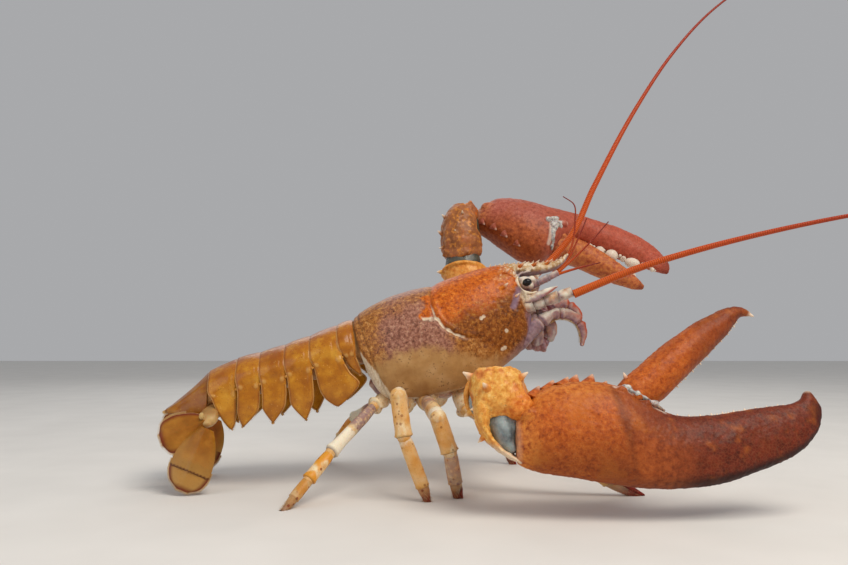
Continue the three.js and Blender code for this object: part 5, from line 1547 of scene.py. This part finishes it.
def mouth():
    core = limb(body_rows(MOUTH_CORE, 1), (0.3, 0, 1), 50, 40, (0.5, 1))
    skin = fuse([core, *(thorned_limb(MOUTH_LOBE, sign, ends=(1, 1.5)) for sign in SIDES.values())], 0.6, 3)
    folds = np.sin(body_place(skin.points)[0] * 1.5 + 0.8 * noise(skin.points, 5)) * 0.45
    skin.push(folds + 0.35 * noise(skin.points, 3.4) + 0.15 * noise(skin.points, 1.3))
    mauve = clamp(0.75 + 0.4 * noise(skin.points, 3))
    # ring here darkens the troughs of the folds: painted shade.
    lobes = [skin.mark(mauve=mauve, orange=0.2, ring=smooth(-0.1, -0.42, folds) * 0.5)]
    for k, (sign, rows) in enumerate(product(SIDES.values(), MOUTH_FLAPS)):
        flap = limb(body_rows(rows, sign), (1, 0, 0), 40, 26, (1.2, 1.4))
        flap.push(0.35 * noise(flap.points * [1, 1, 0.3], 1.6) + 0.15 * noise(flap.points, 1))
        streak = noise(flap.points * [1, 1, 0.25], 2, k)
        flap.mark(mauve=clamp(0.75 + 0.5 * streak))
        flap.mark(orange=np.clip(0.3 - streak, 0, 0.7), cream=np.clip(streak - 0.2, 0, 0.35))
        lobes.append(flap)
    piece("mouth_lobes", joined(lobes), PALE_SHELL, "pale_shell", "mouthparts")


mouth()
for side, sign in SIDES.items():
    eye(side, sign)
    antenna(side, sign)
    scale(side, sign)
    antennule(side, sign)
    maxilliped(side, sign)


# The claws: each has its own frame, along it, up in its plane and out of its face


class Claw:
    def __init__(self, origin, slope, tilt):
        self.origin = np.array(origin, float)
        self.along = np.array([math.cos(math.radians(slope)), 0, math.sin(math.radians(slope))])
        lean = np.array([0, math.sin(math.radians(tilt)), math.cos(math.radians(tilt))])
        self.face = unit(np.cross(self.along, lean))
        self.up = np.cross(self.face, self.along)

    def at(self, along, up, out=0.0):
        along, up, out = (part[..., None] for part in np.broadcast_arrays(np.asarray(along, float), up, out))
        return self.origin + along * self.along + up * self.up + out * self.face

    def place(self, points):
        local = points - self.origin
        return local @ self.along, local @ self.up, local @ self.face

    def rows(self, rows):
        """Rows of along, up, half height and half thickness as rows of x, y, z and half sizes"""
        rows = np.asarray(rows, float)
        return np.hstack([self.at(rows[:, 0], rows[:, 1]), rows[:, 2:]])


CUTTER = Claw((46.4, -92, 37.6), 0, 20)
CRUSHER = Claw((39.7, 85, 173), -13.5, 28)
# The palm with its fixed finger: rows are along, upper edge, lower edge and half thickness.
CUTTER_PALM = [
    [-2, 9, -12, 7],
    [3, 15, -14.4, 10.4],
    [9, 22, -16, 12.4],
    [18, 26, -17.6, 14],
    [30, 27.7, -19.2, 15],
    [42, 27.2, -21.2, 15],
    [52, 24.2, -22.8, 14.2],
    [60, 19.4, -23.5, 13],
    [67, 14.6, -23.7, 12],
    [74, 11.4, -23.5, 11],
    [86, 10.6, -22.4, 9.8],
    [100, 12.2, -19.6, 8.4],
    [113, 14.2, -15.2, 7.2],
    [124, 15.6, -11, 6.2],
    [133, 17.2, -6.4, 5.2],
    [139, 19.6, -2, 4.2],
    [142.6, 23.6, 1.4, 3.4],
    [145, 22.2, 5, 2.7],
    [147.4, 17.4, 10.4, 1.4],
]
CUTTER_FINGER = [
    [52, 17.4, 6.6, 6.6],
    [57, 21.4, 9, 8.4],
    [64.6, 26.4, 9.9, 9],
    [74.2, 34.6, 9.7, 9],
    [82, 41, 9.3, 8.6],
    [90, 47.3, 8.7, 8],
    [97.5, 53.5, 7.8, 7.2],
    [104.3, 58, 6.6, 6],
    [111.4, 63.2, 4.9, 4.6],
    [116.4, 65.6, 3.1, 3.1],
    [121, 65.2, 1.8, 1.8],
    [124, 63.6, 0.8, 0.8],
]
CRUSHER_PALM = [
    [-2, 10, -7, 7.5],
    [4, 17, -8, 11],
    [9, 21.4, -9.4, 13.6],
    [16, 24, -13, 15.8],
    [24, 25.6, -17, 17.4],
    [36, 26, -22, 18.4],
    [45, 25.6, -23.4, 18],
    [52, 25.3, -21, 17],
    [57, 25.2, -14, 15.8],
    [63, 25, -5.5, 14.4],
    [69, 24.8, 0.8, 13.4],
    [78, 24.5, 2.6, 12.4],
    [90, 23.8, 1, 11.4],
    [104, 22.8, -0.8, 10.2],
    [117, 20.6, -3, 8.8],
    [129, 15.6, -5.2, 6.8],
    [138, 9.4, -6, 4.6],
    [144, 2.4, -6.2, 2.6],
]
CRUSHER_FINGER = [
    [58, -6, 8.6, 9],
    [66, -6.4, 10.2, 10.6],
    [75, -7, 10, 10.6],
    [86, -10.4, 9.6, 10],
    [97, -14.2, 8.6, 9],
    [107, -17.6, 7, 7.6],
    [116, -20.6, 5.2, 5.6],
    [122, -22.6, 3.6, 3.8],
    [125.6, -23.6, 1.8, 2.2],
]
# How round a palm is in height and thickness, where 1 is an oval
PALM_HEIGHT_POWER, PALM_THICKNESS_POWER = 0.95, 0.9
# Spines on the palms: along, up and out of the root, then the length
CUTTER_SPINES = [
    [9, 21.6, 1, 3.8],
    [16.6, 25.2, -1, 3.8],
    [23.4, 27, 2, 2.8],
    [28.6, 27.6, -1, 4.2],
    [36, 27.4, 1, 4],
    [43, 26.4, 0, 2],
]
CRUSHER_SPINES = [[3, -6.8, 8, 0.6], [12, -9.6, 9, 0.8], [20.6, -13.8, 9, 0.9], [31, -18.6, 8, 0.7]]
# Molars of the crusher: along and radius, and how much longer than high each is
MOLARS = [
    [77, 2.2, 1],
    [84, 2.8, 1],
    [92, 3.6, 1],
    [101, 4.2, 1.1],
    [110, 2.2, 1],
    [117, 3.6, 1.5],
    [126, 1.6, 1],
    [132, 1.6, 1],
]
# The line where each palm meets its free finger: along and up
CUTTER_HINGE = [[47, 23.4], [52, 21.4], [58, 17.8], [64, 14], [69, 11.6]]
CRUSHER_HINGE = [[62, 6], [56, 4.4], [51, 2], [52, -6], [52, -14]]
# The folded skins in the hinges. The cutter's rows are along, up, half height and half thickness, and the
# crusher's along, up and half width.
CUTTER_FOLD = [
    [47, 23.6, 1, 5],
    [50.4, 22.9, 1.8, 8],
    [54, 21.2, 1.8, 9.4],
    [60, 17.8, 1.4, 9.6],
    [65.6, 15, 1, 8],
    [70.4, 12.6, 0.6, 5],
]
CRUSHER_FOLD = [[59, 3, 1.8], [54, 2.6, 3.4], [53.4, -4, 2.6], [54.4, -10, 1.6], [55.4, -14, 1]]
CRUSHER_FOLD_LOBES = [[49.6, 3.6, (3.4, 2.2, 2.2)], [53, 6.4, (3, 1.8, 2)], [58.4, 5, (2.6, 1.8, 1.8)]]


def palm_skin(claw, rows, lumps=()):
    """A palm and its fixed finger as one smooth skin, with rounded lumps joined to it"""
    along = np.linspace(rows[0][0], rows[-1][0], 170)[:, None]
    upper, lower, thick = (column(rows, along, k) for k in (1, 2, 3))
    c, s = circle(80)
    high = (upper + lower) / 2 + (upper - lower) / 2 * signed_power(s, PALM_HEIGHT_POWER)
    out = thick * signed_power(c, PALM_THICKNESS_POWER)
    points = claw.at(along, high, out)
    ends = [(along[0, 0] - 1, (upper + lower)[0, 0] / 2), (along[-1, 0] + 1, (upper + lower)[-1, 0] / 2)]
    return fuse([lattice(points, poles=[claw.at(*end) for end in ends]), *lumps], 0.6, 3)


def palm_surface(rows, along, up):
    """How far the palm's face stands out at a place along it and a height"""
    upper, lower, thick = (value_at(rows, along, k) for k in (1, 2, 3))
    level = np.clip((up - (upper + lower) / 2) / ((upper - lower) / 2), -1, 1)
    return thick * (1 - abs(level) ** (2 / PALM_HEIGHT_POWER)) ** (PALM_THICKNESS_POWER / 2)


def on_palm(claw, rows, along, up, sunk=0.0):
    return claw.at(along, up, palm_surface(rows, along, up) - sunk)


def finger_skin(claw, rows, lumps=()):
    return fuse([limb(claw.rows(rows), claw.up, 90, 44, (1, 0.9)), *lumps], 0.55, 3)


def palm_spines(claw, spines):
    made = []
    for along, high, out, length in spines:
        way = math.copysign(1, high)
        root = claw.at(along - 1, high - way * 1.8, out)
        tip = claw.at(along + 1.8, high + way * length * 1.15, out)
        thorn = spine(root, tip, 1.6 + length * 0.6, 14)
        made.append(thorn.mark(tip=0.5 * thorn.marks["tip"]))
    return made


def saw_teeth(claw, edge, way, count, out=0.0):
    """Pale teeth along an edge, every third one larger. edge gives along and up for a share of the row."""
    teeth = []
    for k in range(count):
        along, high = edge(k / (count - 1))
        size = (0.8, 1.7, 0.9, 1.1)[k % 4] * (1 - 0.35 * k / count)
        root = claw.at(along - way[0] * 1.1, high - way[1] * 1.1, out)
        tip = claw.at(along + way[0] * size, high + way[1] * size, out)
        teeth.append(spine(root, tip, 0.8 + size * 0.3, 8).mark(cream=0.75, tip=1))
    return teeth


def dress_claw(skin, claw, reach, edge, hinge, base):
    """Marks and fine relief that both claws share"""
    along, up, _ = claw.place(skin.points)
    near = line_distance(skin.points, np.array(hinge))
    lumps = 0.3 * noise(skin.points, 9) + 0.14 * noise(skin.points, 3, 2)
    skin.push(lumps + 0.24 * grains(skin.points, 2.4, 4))
    return skin.mark(
        reach=smooth(*reach, along),
        # shade holds the dark edges and the painted shade that the edge function gives.
        shade=clamp(edge(along, up)),
        cream=clamp(smooth(2.4, 0.6, near) * 0.6 + smooth(base + 1, base - 2, along) * 0.2),
        yellow=0.0,
    )


def cutter():
    """The slender right claw"""
    hinge = [on_palm(CUTTER, CUTTER_PALM, *place) for place in CUTTER_HINGE]
    lumps = [
        ball(on_palm(CUTTER, CUTTER_PALM, 60, 14.4, 1.2), (3, 2.4, 2.6)),
        ball(on_palm(CUTTER, CUTTER_PALM, 49.4, 21.4, 1.4), (3.4, 3, 2.8)),
        ball(CUTTER.at(4, 10, 7), (5, 4.4, 4)),
    ]

    def dark_edge_and_shade(along, up):
        rise = up - column(CUTTER_PALM, along, 2)
        end = smooth(9, 2, np.hypot(along - 147.6, (up - 9) * 0.55))
        line = smooth(4.6, 1.4, rise) * smooth(40, 70, along)
        # Painted shade: a dark band down the crease by the hinge, and the lower palm darkened.
        band = 0.42 * bell(along - 48.4 + 0.16 * up, 2.6) * (up < 24)
        low = 0.34 * smooth(8, -16, up) * smooth(60, 44, along) * smooth(0, 8, along)
        return np.max([line, end * 0.85, band, low], axis=0)

    def palm_edge(share):
        along = 76 + 54 * share
        return along, value_at(CUTTER_PALM, along, 1) - 0.3

    def finger_edge(share):
        along = 72 + share * 40
        high, half = (value_at(CUTTER_FINGER, along, k) for k in (1, 2))
        return along + half * 0.6, high - half * 0.74

    def outer_edge(along, up):
        middle = column(CUTTER_FINGER, along, 1)
        return smooth(3, 7, (up - middle) * 0.77) * smooth(85, 112, along) * 0.5

    skin = dress_claw(palm_skin(CUTTER, CUTTER_PALM, lumps), CUTTER, (18, 86), dark_edge_and_shade, hinge, 0)
    along, up, _ = CUTTER.place(skin.points)
    tip = np.linalg.norm(skin.points - CUTTER.at(143, 23.4, 0), axis=1)
    skin.mark(
        # Yellow at the wrist end, and a painted highlight: the top of the palm lighter.
        yellow=clamp(smooth(12, 2, along) * 0.5 + smooth(8, 24, up) * smooth(54, 30, along) * 0.45),
        rust=bell(along - 64, 13) * smooth(10, -12, up),
        tip=smooth(3, 1, tip) * 0.5,
    )
    parts = [skin, *palm_spines(CUTTER, CUTTER_SPINES), *saw_teeth(CUTTER, palm_edge, (0, 1), 40)]
    piece("cutter_palm", joined(parts), CUTTER_SHELL, "claw_shell", "claw_palm_right")
    finger = finger_skin(CUTTER, CUTTER_FINGER, [ball(CUTTER.at(57, 19, 7), (3.4, 3, 2.6))])
    dress_claw(finger, CUTTER, (30, 150), outer_edge, hinge, 40)
    finger.marks["cream"] *= smooth(60, 54, CUTTER.place(finger.points)[0])
    tip = np.linalg.norm(finger.points - CUTTER.at(124.6, 63.4), axis=1)
    finger.mark(tip=smooth(4.5, 1.5, tip))
    thorn = spine(CUTTER.at(55, 25, 3), CUTTER.at(52.6, 32.4, 3), 2.3, 14)
    teeth = saw_teeth(CUTTER, finger_edge, (0.64, -0.77), 36)
    piece("cutter_finger", joined([finger, thorn, *teeth]), CUTTER_SHELL, "claw_shell", "claw_finger_right")
    lobes = [
        ball(CUTTER.at(51.6, 22.4, 8), (3, 1.6, 2)),
        ball(CUTTER.at(56.4, 19.6, 9.6), (1.4, 1, 1.4)),
        ball(CUTTER.at(64, 15.2, 8.6), (2.2, 0.9, 1.3)),
    ]
    fold = fuse([limb(CUTTER.rows(CUTTER_FOLD), CUTTER.up, 90, 50), *lobes], 0.5, 2)
    piece("cutter_hinge_skin", fold.rough((0.4, 2.6), (0.25, 1.2)), JOINT_SKIN, "pale_shell")


def crusher():
    """The broad left claw"""
    hinge = [on_palm(CRUSHER, CRUSHER_PALM, *place) for place in CRUSHER_HINGE]
    axes = np.stack([CRUSHER.along, CRUSHER.up, CRUSHER.face])
    lumps = [
        ball(on_palm(CRUSHER, CRUSHER_PALM, 60, 5.4, 1), (3.6, 3, 3)),
        ball(CRUSHER.at(4, 9, 8), (5, 4.4, 4)),
    ]

    def dark_edge_and_shade(along, up):
        # Painted shade along the lower edge of the palm's wrist half; the dark finger tip is colour.
        rise = up - column(CRUSHER_PALM, along, 2)
        return smooth(134, 143, along) * 0.5 + smooth(7, 2, rise) * smooth(56, 44, along) * 0.55

    def outer_edge(along, _):
        return smooth(118, 126, along) * 0.5

    skin = dress_claw(palm_skin(CRUSHER, CRUSHER_PALM, lumps), CRUSHER, (20, 90), dark_edge_and_shade, hinge, 0)
    along, up, _ = CRUSHER.place(skin.points)
    skin.mark(rust=smooth(6, -10, up) * smooth(62, 40, along) * 1.4, yellow=smooth(10, 0, along) * 0.5)
    teeth = []
    for along, radius, long in MOLARS:
        edge = value_at(CRUSHER_PALM, along, 2)
        size = np.array([long * 1.05, 1.1, 1.1]) * radius
        teeth.append(ball(CRUSHER.at(along, edge - radius * 0.4, 0.6), size, axes=axes).mark(cream=1))
        for step in (-1.35, 1.35):
            small = CRUSHER.at(along + radius * long * step, edge - 0.2, 1.2 - step)
            teeth.append(ball(small, 1.15, axes=axes).mark(cream=0.95))
    parts = [skin, *palm_spines(CRUSHER, CRUSHER_SPINES), *teeth]
    piece("crusher_palm", joined(parts), CRUSHER_SHELL, "claw_shell", "claw_palm_left")
    finger = finger_skin(CRUSHER, CRUSHER_FINGER, [ball(CRUSHER.at(62, -2, 8.6), (3.6, 3, 3))])
    dress_claw(finger, CRUSHER, (30, 80), outer_edge, hinge, 40)
    finger.marks["cream"] *= smooth(66, 58, CRUSHER.place(finger.points)[0])
    finger.mark(yellow=0.55, rust=0.3)
    bumps = []
    for k, along in enumerate(np.linspace(80, 116, 7)):
        high, half = (value_at(CRUSHER_FINGER, along, c) for c in (1, 2))
        place = CRUSHER.at(along + half * 0.3, high + half * 0.86, 1)
        bumps.append(ball(place, (2.4, 1.8)[k % 2]).mark(cream=0.9))
    piece("crusher_finger", joined([finger, *bumps]), CRUSHER_SHELL, "claw_shell", "claw_finger_left")
    path = [[*on_palm(CRUSHER, CRUSHER_PALM, a, u, 1.2), half, 2.4] for a, u, half in CRUSHER_FOLD]
    lobes = [ball(on_palm(CRUSHER, CRUSHER_PALM, a, u, 0.6), size) for a, u, size in CRUSHER_FOLD_LOBES]
    fold = fuse([limb(path, CRUSHER.along, 60, 40, (1, 1)), *lobes], 0.5, 2)
    piece("crusher_hinge_skin", fold.rough((0.8, 3), (0.4, 1.3)), JOINT_SKIN, "pale_shell")


cutter()
crusher()


# The arms: from shoulder to elbow, and the wrist piece

ARMS = {
    "right": [[38, -9, 62], [43.5, -24, 53], [36.5, -76, 56.5]],
    "left": [[38, 9, 62], [42, 25, 66], [28, 63, 133]],
}
# Rows are a place along the arm, counted in joints from the shoulder, and two half sizes.
ARM = [
    [0, 6.4, 6],
    [0.5, 8.4, 7.6],
    [0.95, 8.8, 7.8],
    [1.08, 9, 7.4],
    [1.3, 10.4, 8],
    [1.6, 12, 9.4],
    [1.84, 14, 11.2],
    [1.95, 15.2, 12.8],
    [2.0, 15.4, 13],
]
WRISTS = {
    "right": {
        "parts": [
            [
                [36, -81, 67.4, 12.2, 10.6],
                [36, -82, 65, 13.4, 12],
                [36.6, -84, 59, 13.6, 13],
                [37.6, -86, 52, 12.4, 12.4],
                [38, -87, 47.6, 9, 9.6],
            ],
            [[41, -88, 56, 8.4, 8.6], [46, -91, 52.4, 7.2, 7.4], [50, -92.4, 50, 5.2, 6]],
            [
                [30, -85, 53, 6, 11],
                [28.7, -88, 46, 3.6, 11.6],
                [29.6, -89, 41, 2.5, 11.6],
                [32.6, -89.8, 36, 1.9, 11.2],
            ],
            [
                [32.6, -89.8, 36, 1.9, 11.2],
                [38.8, -90.6, 30.8, 1.4, 10.4],
                [44, -91, 28, 1.2, 9.4],
                [48, -91, 26.8, 1, 8],
            ],
        ],
        "up": (1, 0, 0.2),
        "brown": 0.0,
        "skin": [
            [38, -86, 49, 8.6, 8.4],
            [38.6, -88, 42, 8, 9.4],
            [39.8, -89.4, 36, 6.2, 9],
            [42.4, -90, 31.6, 4, 7.6],
        ],
        "spines": [
            [[45, -90, 65], [50.8, -91.6, 69.4], 2.6],
            [[31, -94.6, 61], [28, -99, 64.6], 2.4],
            [[27.8, -84, 64.4], [18.8, -86, 69.2], 3.2],
            [[27, -90, 52.4], [22.4, -91, 51], 2],
            [[28, -91, 47.6], [23.8, -92, 46], 1.7],
            [[29.4, -92, 38.6], [25.8, -93.4, 35.6], 1.7],
        ],
        "hoop": {
            "centre": (36.4, -75.4, 56.4),
            "size": (15.2, 13.2),
            "axes": ((1, 0, 0), (0, 0, 1)),
            "thorns": (142, 42, 215),
        },
        "hollow": [[36.4, -74, 55.6, 12.6, 10.2], [36.4, -78.6, 55.4, 14.2, 10.8], [37, -84, 57, 11, 9]],
    },
    "left": {
        "parts": [
            [
                [26.6, 66, 146, 12.4, 12.4],
                [26.6, 67.4, 151, 14, 14.4],
                [24.6, 71, 163, 12.4, 15.4],
                [25.8, 74.4, 173, 11.4, 14.4],
                [28, 76.6, 179, 9, 11],
            ],
            [[28, 72, 177, 6.4, 9], [33, 73.6, 179, 4.4, 8], [36.6, 77, 177.6, 3.4, 6]],
            [[14.4, 62, 147.4, 3, 3.4], [26, 55.4, 146, 3, 3.4], [38.6, 62, 148.4, 3, 3.4]],
        ],
        "up": (1, 0.2, 0),
        # The far wrist is browned as painted shade.
        "brown": 0.95,
        "skin": [[34, 78, 173, 5.4, 8], [35.6, 80, 163, 4.6, 7], [36.4, 79, 154, 3.4, 6]],
        "spines": [
            [[13.4, 68, 161], [9, 66, 163.6], 2],
            [[16.4, 70, 172], [12, 67.6, 176], 2],
            [[27, 61.4, 173], [26.4, 57, 177], 1.7],
            [[14.4, 64, 151], [10, 61.6, 150.6], 2],
            [[22, 57.4, 161], [21, 53.6, 162.6], 1.6],
        ],
        "hoop": {
            "centre": (28, 62.6, 132.8),
            "size": (15.2, 13.2),
            "axes": ((1, 0, 0), (0, 0.87, -0.49)),
            "thorns": (185, 90, 345),
        },
        "hollow": [[28, 62, 132, 12.6, 11.6], [27.6, 64, 138, 12.8, 12.4], [27, 66, 146, 11.4, 11.4]],
    },
}


def hoop(centre, size, axes, thorns, radius=1.5):
    """The flared rim of an arm with its thorns"""
    angle = np.radians(np.arange(0, 361, 10))
    axes = np.asarray(axes, float)
    centre = np.asarray(centre, float)
    ring = centre + np.cos(angle)[:, None] * axes[0] * size[0] + np.sin(angle)[:, None] * axes[1] * size[1]
    band = limb(np.column_stack([ring, np.full(len(ring), radius)]), np.cross(axes[0], axes[1]), 110, 12)
    made = []
    for turn in np.radians(thorns):
        way = math.cos(turn) * axes[0] + math.sin(turn) * axes[1]
        root = centre + math.cos(turn) * axes[0] * size[0] + math.sin(turn) * axes[1] * size[1]
        made.append(spine(root - way, root + way * 4.6, 2.3, 14))
    return band, made


def arm(side):
    """The arm from shoulder to elbow with its rim, the wrist piece, and the skin between them"""
    joints = np.array(ARMS[side], float)
    rows = []
    for place, wide, thick in ARM:
        k = min(int(place), 1)
        rows.append([*(joints[k] + (joints[k + 1] - joints[k]) * (place - k)), wide, thick])
    wrist = WRISTS[side]
    band, thorns = hoop(**wrist["hoop"])
    upper = fuse([limb(rows, (1, 0, 0.6), 80, 44, (1, 0.6)), band], 0.7, 3).rough((0.3, 6), (0.12, 2.4))
    end = np.linalg.norm(upper.points - joints[2], axis=1)
    upper.mark(orange=smooth(30, 16, end) * 0.4, cream=smooth(60, 90, end) * 0.3)
    piece(f"arm_{side}_shell", joined([upper, *thorns]), WRIST_SHELL, "back_shell", f"claw_arm_{side}")
    parts = [limb(part, wrist["up"], 60, 44, (1.6, 1.6), power=0.74) for part in wrist["parts"]]
    skin = fuse(parts, 0.6, 3)
    lumps = 0.6 * noise(skin.points, 7) + 0.4 * noise(skin.points, 3, 2)
    skin.push(lumps + 0.4 * grains(skin.points, 2.6, 4))
    tip = np.asarray(wrist["parts"][1][-1][:3])
    skin.mark(
        orange=smooth(17, 8, np.linalg.norm(skin.points - tip, axis=1)),
        brown=wrist["brown"],
        cream=smooth(38, 30, skin.points[:, 2]) * 0.6,
    )
    spines = [spine(*thorn).mark(orange=0.7, brown=wrist["brown"]) for thorn in wrist["spines"]]
    piece(f"wrist_{side}_shell", joined([skin, *spines]), WRIST_SHELL, "back_shell", f"claw_wrist_{side}")
    outer = limb(wrist["skin"], wrist["up"], 60, 44, (2, 2))
    fold = joined([outer, limb(wrist["hollow"], (1, 0, 0.2), 40, 60, (1, 1))])
    fold.push(0.45 * noise(fold.points * [1, 1, 0.3], 2.4) + 0.2 * noise(fold.points, 4))
    # The far wrist's skin is the darker copy: painted shade.
    piece(f"wrist_{side}_skin", fold, {"right": WRIST_SKIN, "left": SHADED_WRIST_SKIN}[side], "pale_shell")


for side in SIDES:
    arm(side)


# The walking legs, front pair first: base, hip, knee, ankle, claw joint and tip

LEGS = {
    "right": [
        [[20, -8, 55], [25, -19, 45], [56, -43, 34], [82, -45, 22], [101, -42, 8], [119.6, -40, -2]],
        [[5, -8, 54], [1, -20, 50], [7.6, -52, 43], [13.8, -53, 25], [16.8, -49.6, 8], [18, -47, -2]],
        [
            [-9, -8, 53],
            [-12, -20, 48],
            [-13.9, -57, 55.4],
            [-10.6, -60, 34],
            [-0.6, -57, 7.4],
            [2.4, -55.6, -2],
        ],
        [
            [-20, -8, 53],
            [-29, -22, 47],
            [-50.2, -52, 24.8],
            [-60, -64, 12.6],
            [-66.4, -71.6, 4.6],
            [-71.4, -77, -2],
        ],
    ],
    "left": [
        [[20, 8, 57], [25, 22, 51], [64, 52, 51], [83, 57, 35], [103, 59, 14], [117, 60, -2]],
        [[5, 8, 54], [9, 22, 49], [30, 56, 60], [43, 60, 37], [55, 62, 14], [61, 62, -2]],
        [[-9, 8, 53], [-10, 22, 48], [-1, 56, 58], [8, 62, 34], [15, 65, 10], [18.6, 66, -2]],
        [[-21, 8, 53], [-27, 20, 47], [-48, 47, 33], [-58, 58, 19], [-67.5, 66.6, 5.6], [-73, 71, -2]],
    ],
}
# How thick each pair is, and how much mauve painted shade its upper parts get under the body
LEG_PAIRS = [[4.8, 0.3], [4.7, 0.7], [4.5, 0.3], [3.6, 0.9]]
# The last article and the small claw's other finger: shares of the length and of the thickness
TOE = ((-0.05, 0.68), (0.15, 0.66), (0.5, 0.52), (1, 0.34))
THUMB = ((0, 0.6), (0.4, 0.5), (0.8, 0.34), (1, 0.2))


def leg(side, number, joints):
    """A walking leg. The first two pairs end in small claws, and the last pair is paler."""
    t, mauve = LEG_PAIRS[number - 1]
    joints = np.array(joints, float)
    last = number == 4
    start = joints[0] + (joints[1] - joints[0]) * 0.1
    coxa = article(start, joints[1], t * 1.2, t * 1.25, (0.1, 0, 1)).mark(cream=0.5)
    lip = 1.14 if last else 1.0
    merus = article(joints[1], joints[2], t * 0.98, t * 1.02, (0.1, 0, 1), lip=lip, head=0.75)
    share = merus.marks["share"]
    pale = smooth(0.52, 0.66, share) * 0.95 if last else 0.35 + 0.4 * smooth(0.7, 0.95, share)
    ring = smooth(0.985, 1, share) * (0.6 if last else 0.0)
    # Mauve on the upper merus: painted shade under the body.
    merus.mark(cream=pale, mauve=mauve * smooth(0.6, 0.5, share), ring=ring)
    carpus = article(joints[2], joints[3], t, t * 0.98, (1, 0, 0.1), head=0.75 if last else 0.97, lip=1.07)
    share = carpus.marks["share"]
    pale = smooth(0.3, 0.0, share) * (0.8 if last else 0.15) + (0.0 if last else 0.3)
    carpus.mark(amber=1.0 if last else 0.55, cream=pale, ring=smooth(0.985, 1, share) * 0.4)
    hand = article(joints[3], joints[4], t * 0.88, t * 0.8, (1, 0, 0.1), lip=1.02, head=0.85)
    share = hand.marks["share"]
    hand.mark(
        amber=0.8 if last else 0.5,
        dark=smooth(0.94, 1.02, share) * (0.2 if last else 0.7),
        cream=smooth(0.3, 0.0, share) * 0.5 + (0.0 if last else 0.25),
        mauve=0.6 if number == 2 else 0.0,
        ring=0.25 * last,
    )
    toe_way = joints[5] - joints[4]
    toe = limb(tapered(joints[4], joints[5], TOE, t), (1, 0, 0.1), 24, 16, (0.6, 0.3))
    toe.mark(dark=(0.1 if last else 0.5) + 0.45 * smooth(0.1, 0.7, toe.marks["share"]), ring=0.3 * last)
    lower = [carpus, hand, toe]
    if number < 3:
        shift = unit(np.cross(toe_way, [0, 1, 0])) * t * 0.62
        start = joints[3] + (joints[4] - joints[3]) * 0.8 + shift * 0.3
        rows = tapered(start, joints[5] + shift * 0.7, THUMB, t)
        thumb = limb(rows, (1, 0, 0.1), 24, 14, (0.6, 0.3))
        lower.append(thumb.mark(dark=smooth(0.2, 0.5, thumb.marks["share"])))
    roots, ways = [], []
    for k in range(70):
        turn, place = k * 2.4, 0.15 + 0.75 * (k % 10) / 10
        side_way = unit(np.cross(toe_way, [math.cos(turn), math.sin(turn), 0.3]))
        roots.append(joints[4] + toe_way * place + side_way * t * 0.5)
        ways.append(side_way + unit(toe_way) * 1.1)
    tufts = hairs(np.array(roots), np.array(ways), 1.6, 0.1)
    widths = (0.92, 0.86 if last else 0.99, 0.8, 0.62)
    knuckles = joined([ball(joint, t * width) for joint, width in zip(joints[1:5], widths)])
    for skin, name, material, nodes in (
        (joined([coxa, merus]), "upper", LEG_SHELL, [f"leg_{number}_upper_{side}"]),
        (joined(lower), "lower", LEG_SHELL, [f"leg_{number}_lower_{side}"]),
        (knuckles.mark(cream=0.4, amber=0.6), "joint_skin", LEG_SHELL, []),
        (tufts, "bristles", HAIR, []),
    ):
        if material is LEG_SHELL:
            skin.rough((0.1, 2.6, number))
        skin.points[:, 2] = np.maximum(skin.points[:, 2], 0.0)
        piece(f"leg_{number}_{name}_shell_{side}", skin, material, "leg_shell", *nodes)


for side, legs in LEGS.items():
    for k, joints in enumerate(legs):
        leg(side, k + 1, joints)


# The floor, the light and the camera, which stands where the photo was taken

FLOOR_HALF = 3
LENS = 30.476
CAMERA_PLACE = np.array([1.397, -443.43, 83.21])
CAMERA_TILT, CAMERA_TURN = math.radians(94.85), math.radians(0.222)


def floor():
    mesh = bpy.data.meshes.new("floor")
    corners = [(x * FLOOR_HALF, y * FLOOR_HALF, 0) for x, y in ((-1, -1), (1, -1), (1, 1), (-1, 1))]
    mesh.from_pydata(corners, [], [(0, 1, 2, 3)])
    thing = bpy.data.objects.new("floor", mesh)
    bpy.context.scene.collection.objects.link(thing)
    s = Shader("floor")
    s.base = s.ramp(s.noise(60, 2), (0.3, 0.7), "#dcdad6 #e2e0dc")
    mesh.materials.append(s.finish(0.9))


def lamp(name, place, aim, size, power, tint="#ffffff"):
    light = bpy.data.lights.new(name, "AREA")
    light.size, light.energy, light.color = size, power, colour(tint)[:3]
    thing = bpy.data.objects.new(name, light)
    thing.location = place
    thing.rotation_euler = (Vector(aim) - Vector(place)).to_track_quat("-Z", "Y").to_euler()
    bpy.context.scene.collection.objects.link(thing)


def stage():
    floor()
    lamp("key", (0.35, -0.55, 0.95), (0, 0, 0.08), 0.6, 9, "#fff6ea")
    lamp("fill", (-0.9, -0.7, 0.5), (0, 0, 0.08), 0.8, 2.2)
    lamp("back", (-0.2, 0.9, 0.8), (0, 0, 0.1), 0.8, 1.8)
    world = bpy.data.worlds.new("studio")
    world.use_nodes = True
    world.node_tree.nodes["Background"].inputs[0].default_value = colour("#eeeff2")
    world.node_tree.nodes["Background"].inputs[1].default_value = 0.46
    bpy.context.scene.world = world
    bpy.context.scene.view_settings.view_transform = "Standard"
    camera = bpy.data.cameras.new("camera")
    camera.lens = LENS
    camera.clip_start = 0.01
    thing = bpy.data.objects.new("camera", camera)
    thing.location = (CAMERA_PLACE + SHIFT) * MM
    thing.rotation_euler = (CAMERA_TILT, 0, CAMERA_TURN)
    bpy.context.scene.collection.objects.link(thing)
    bpy.context.scene.camera = thing


stage()
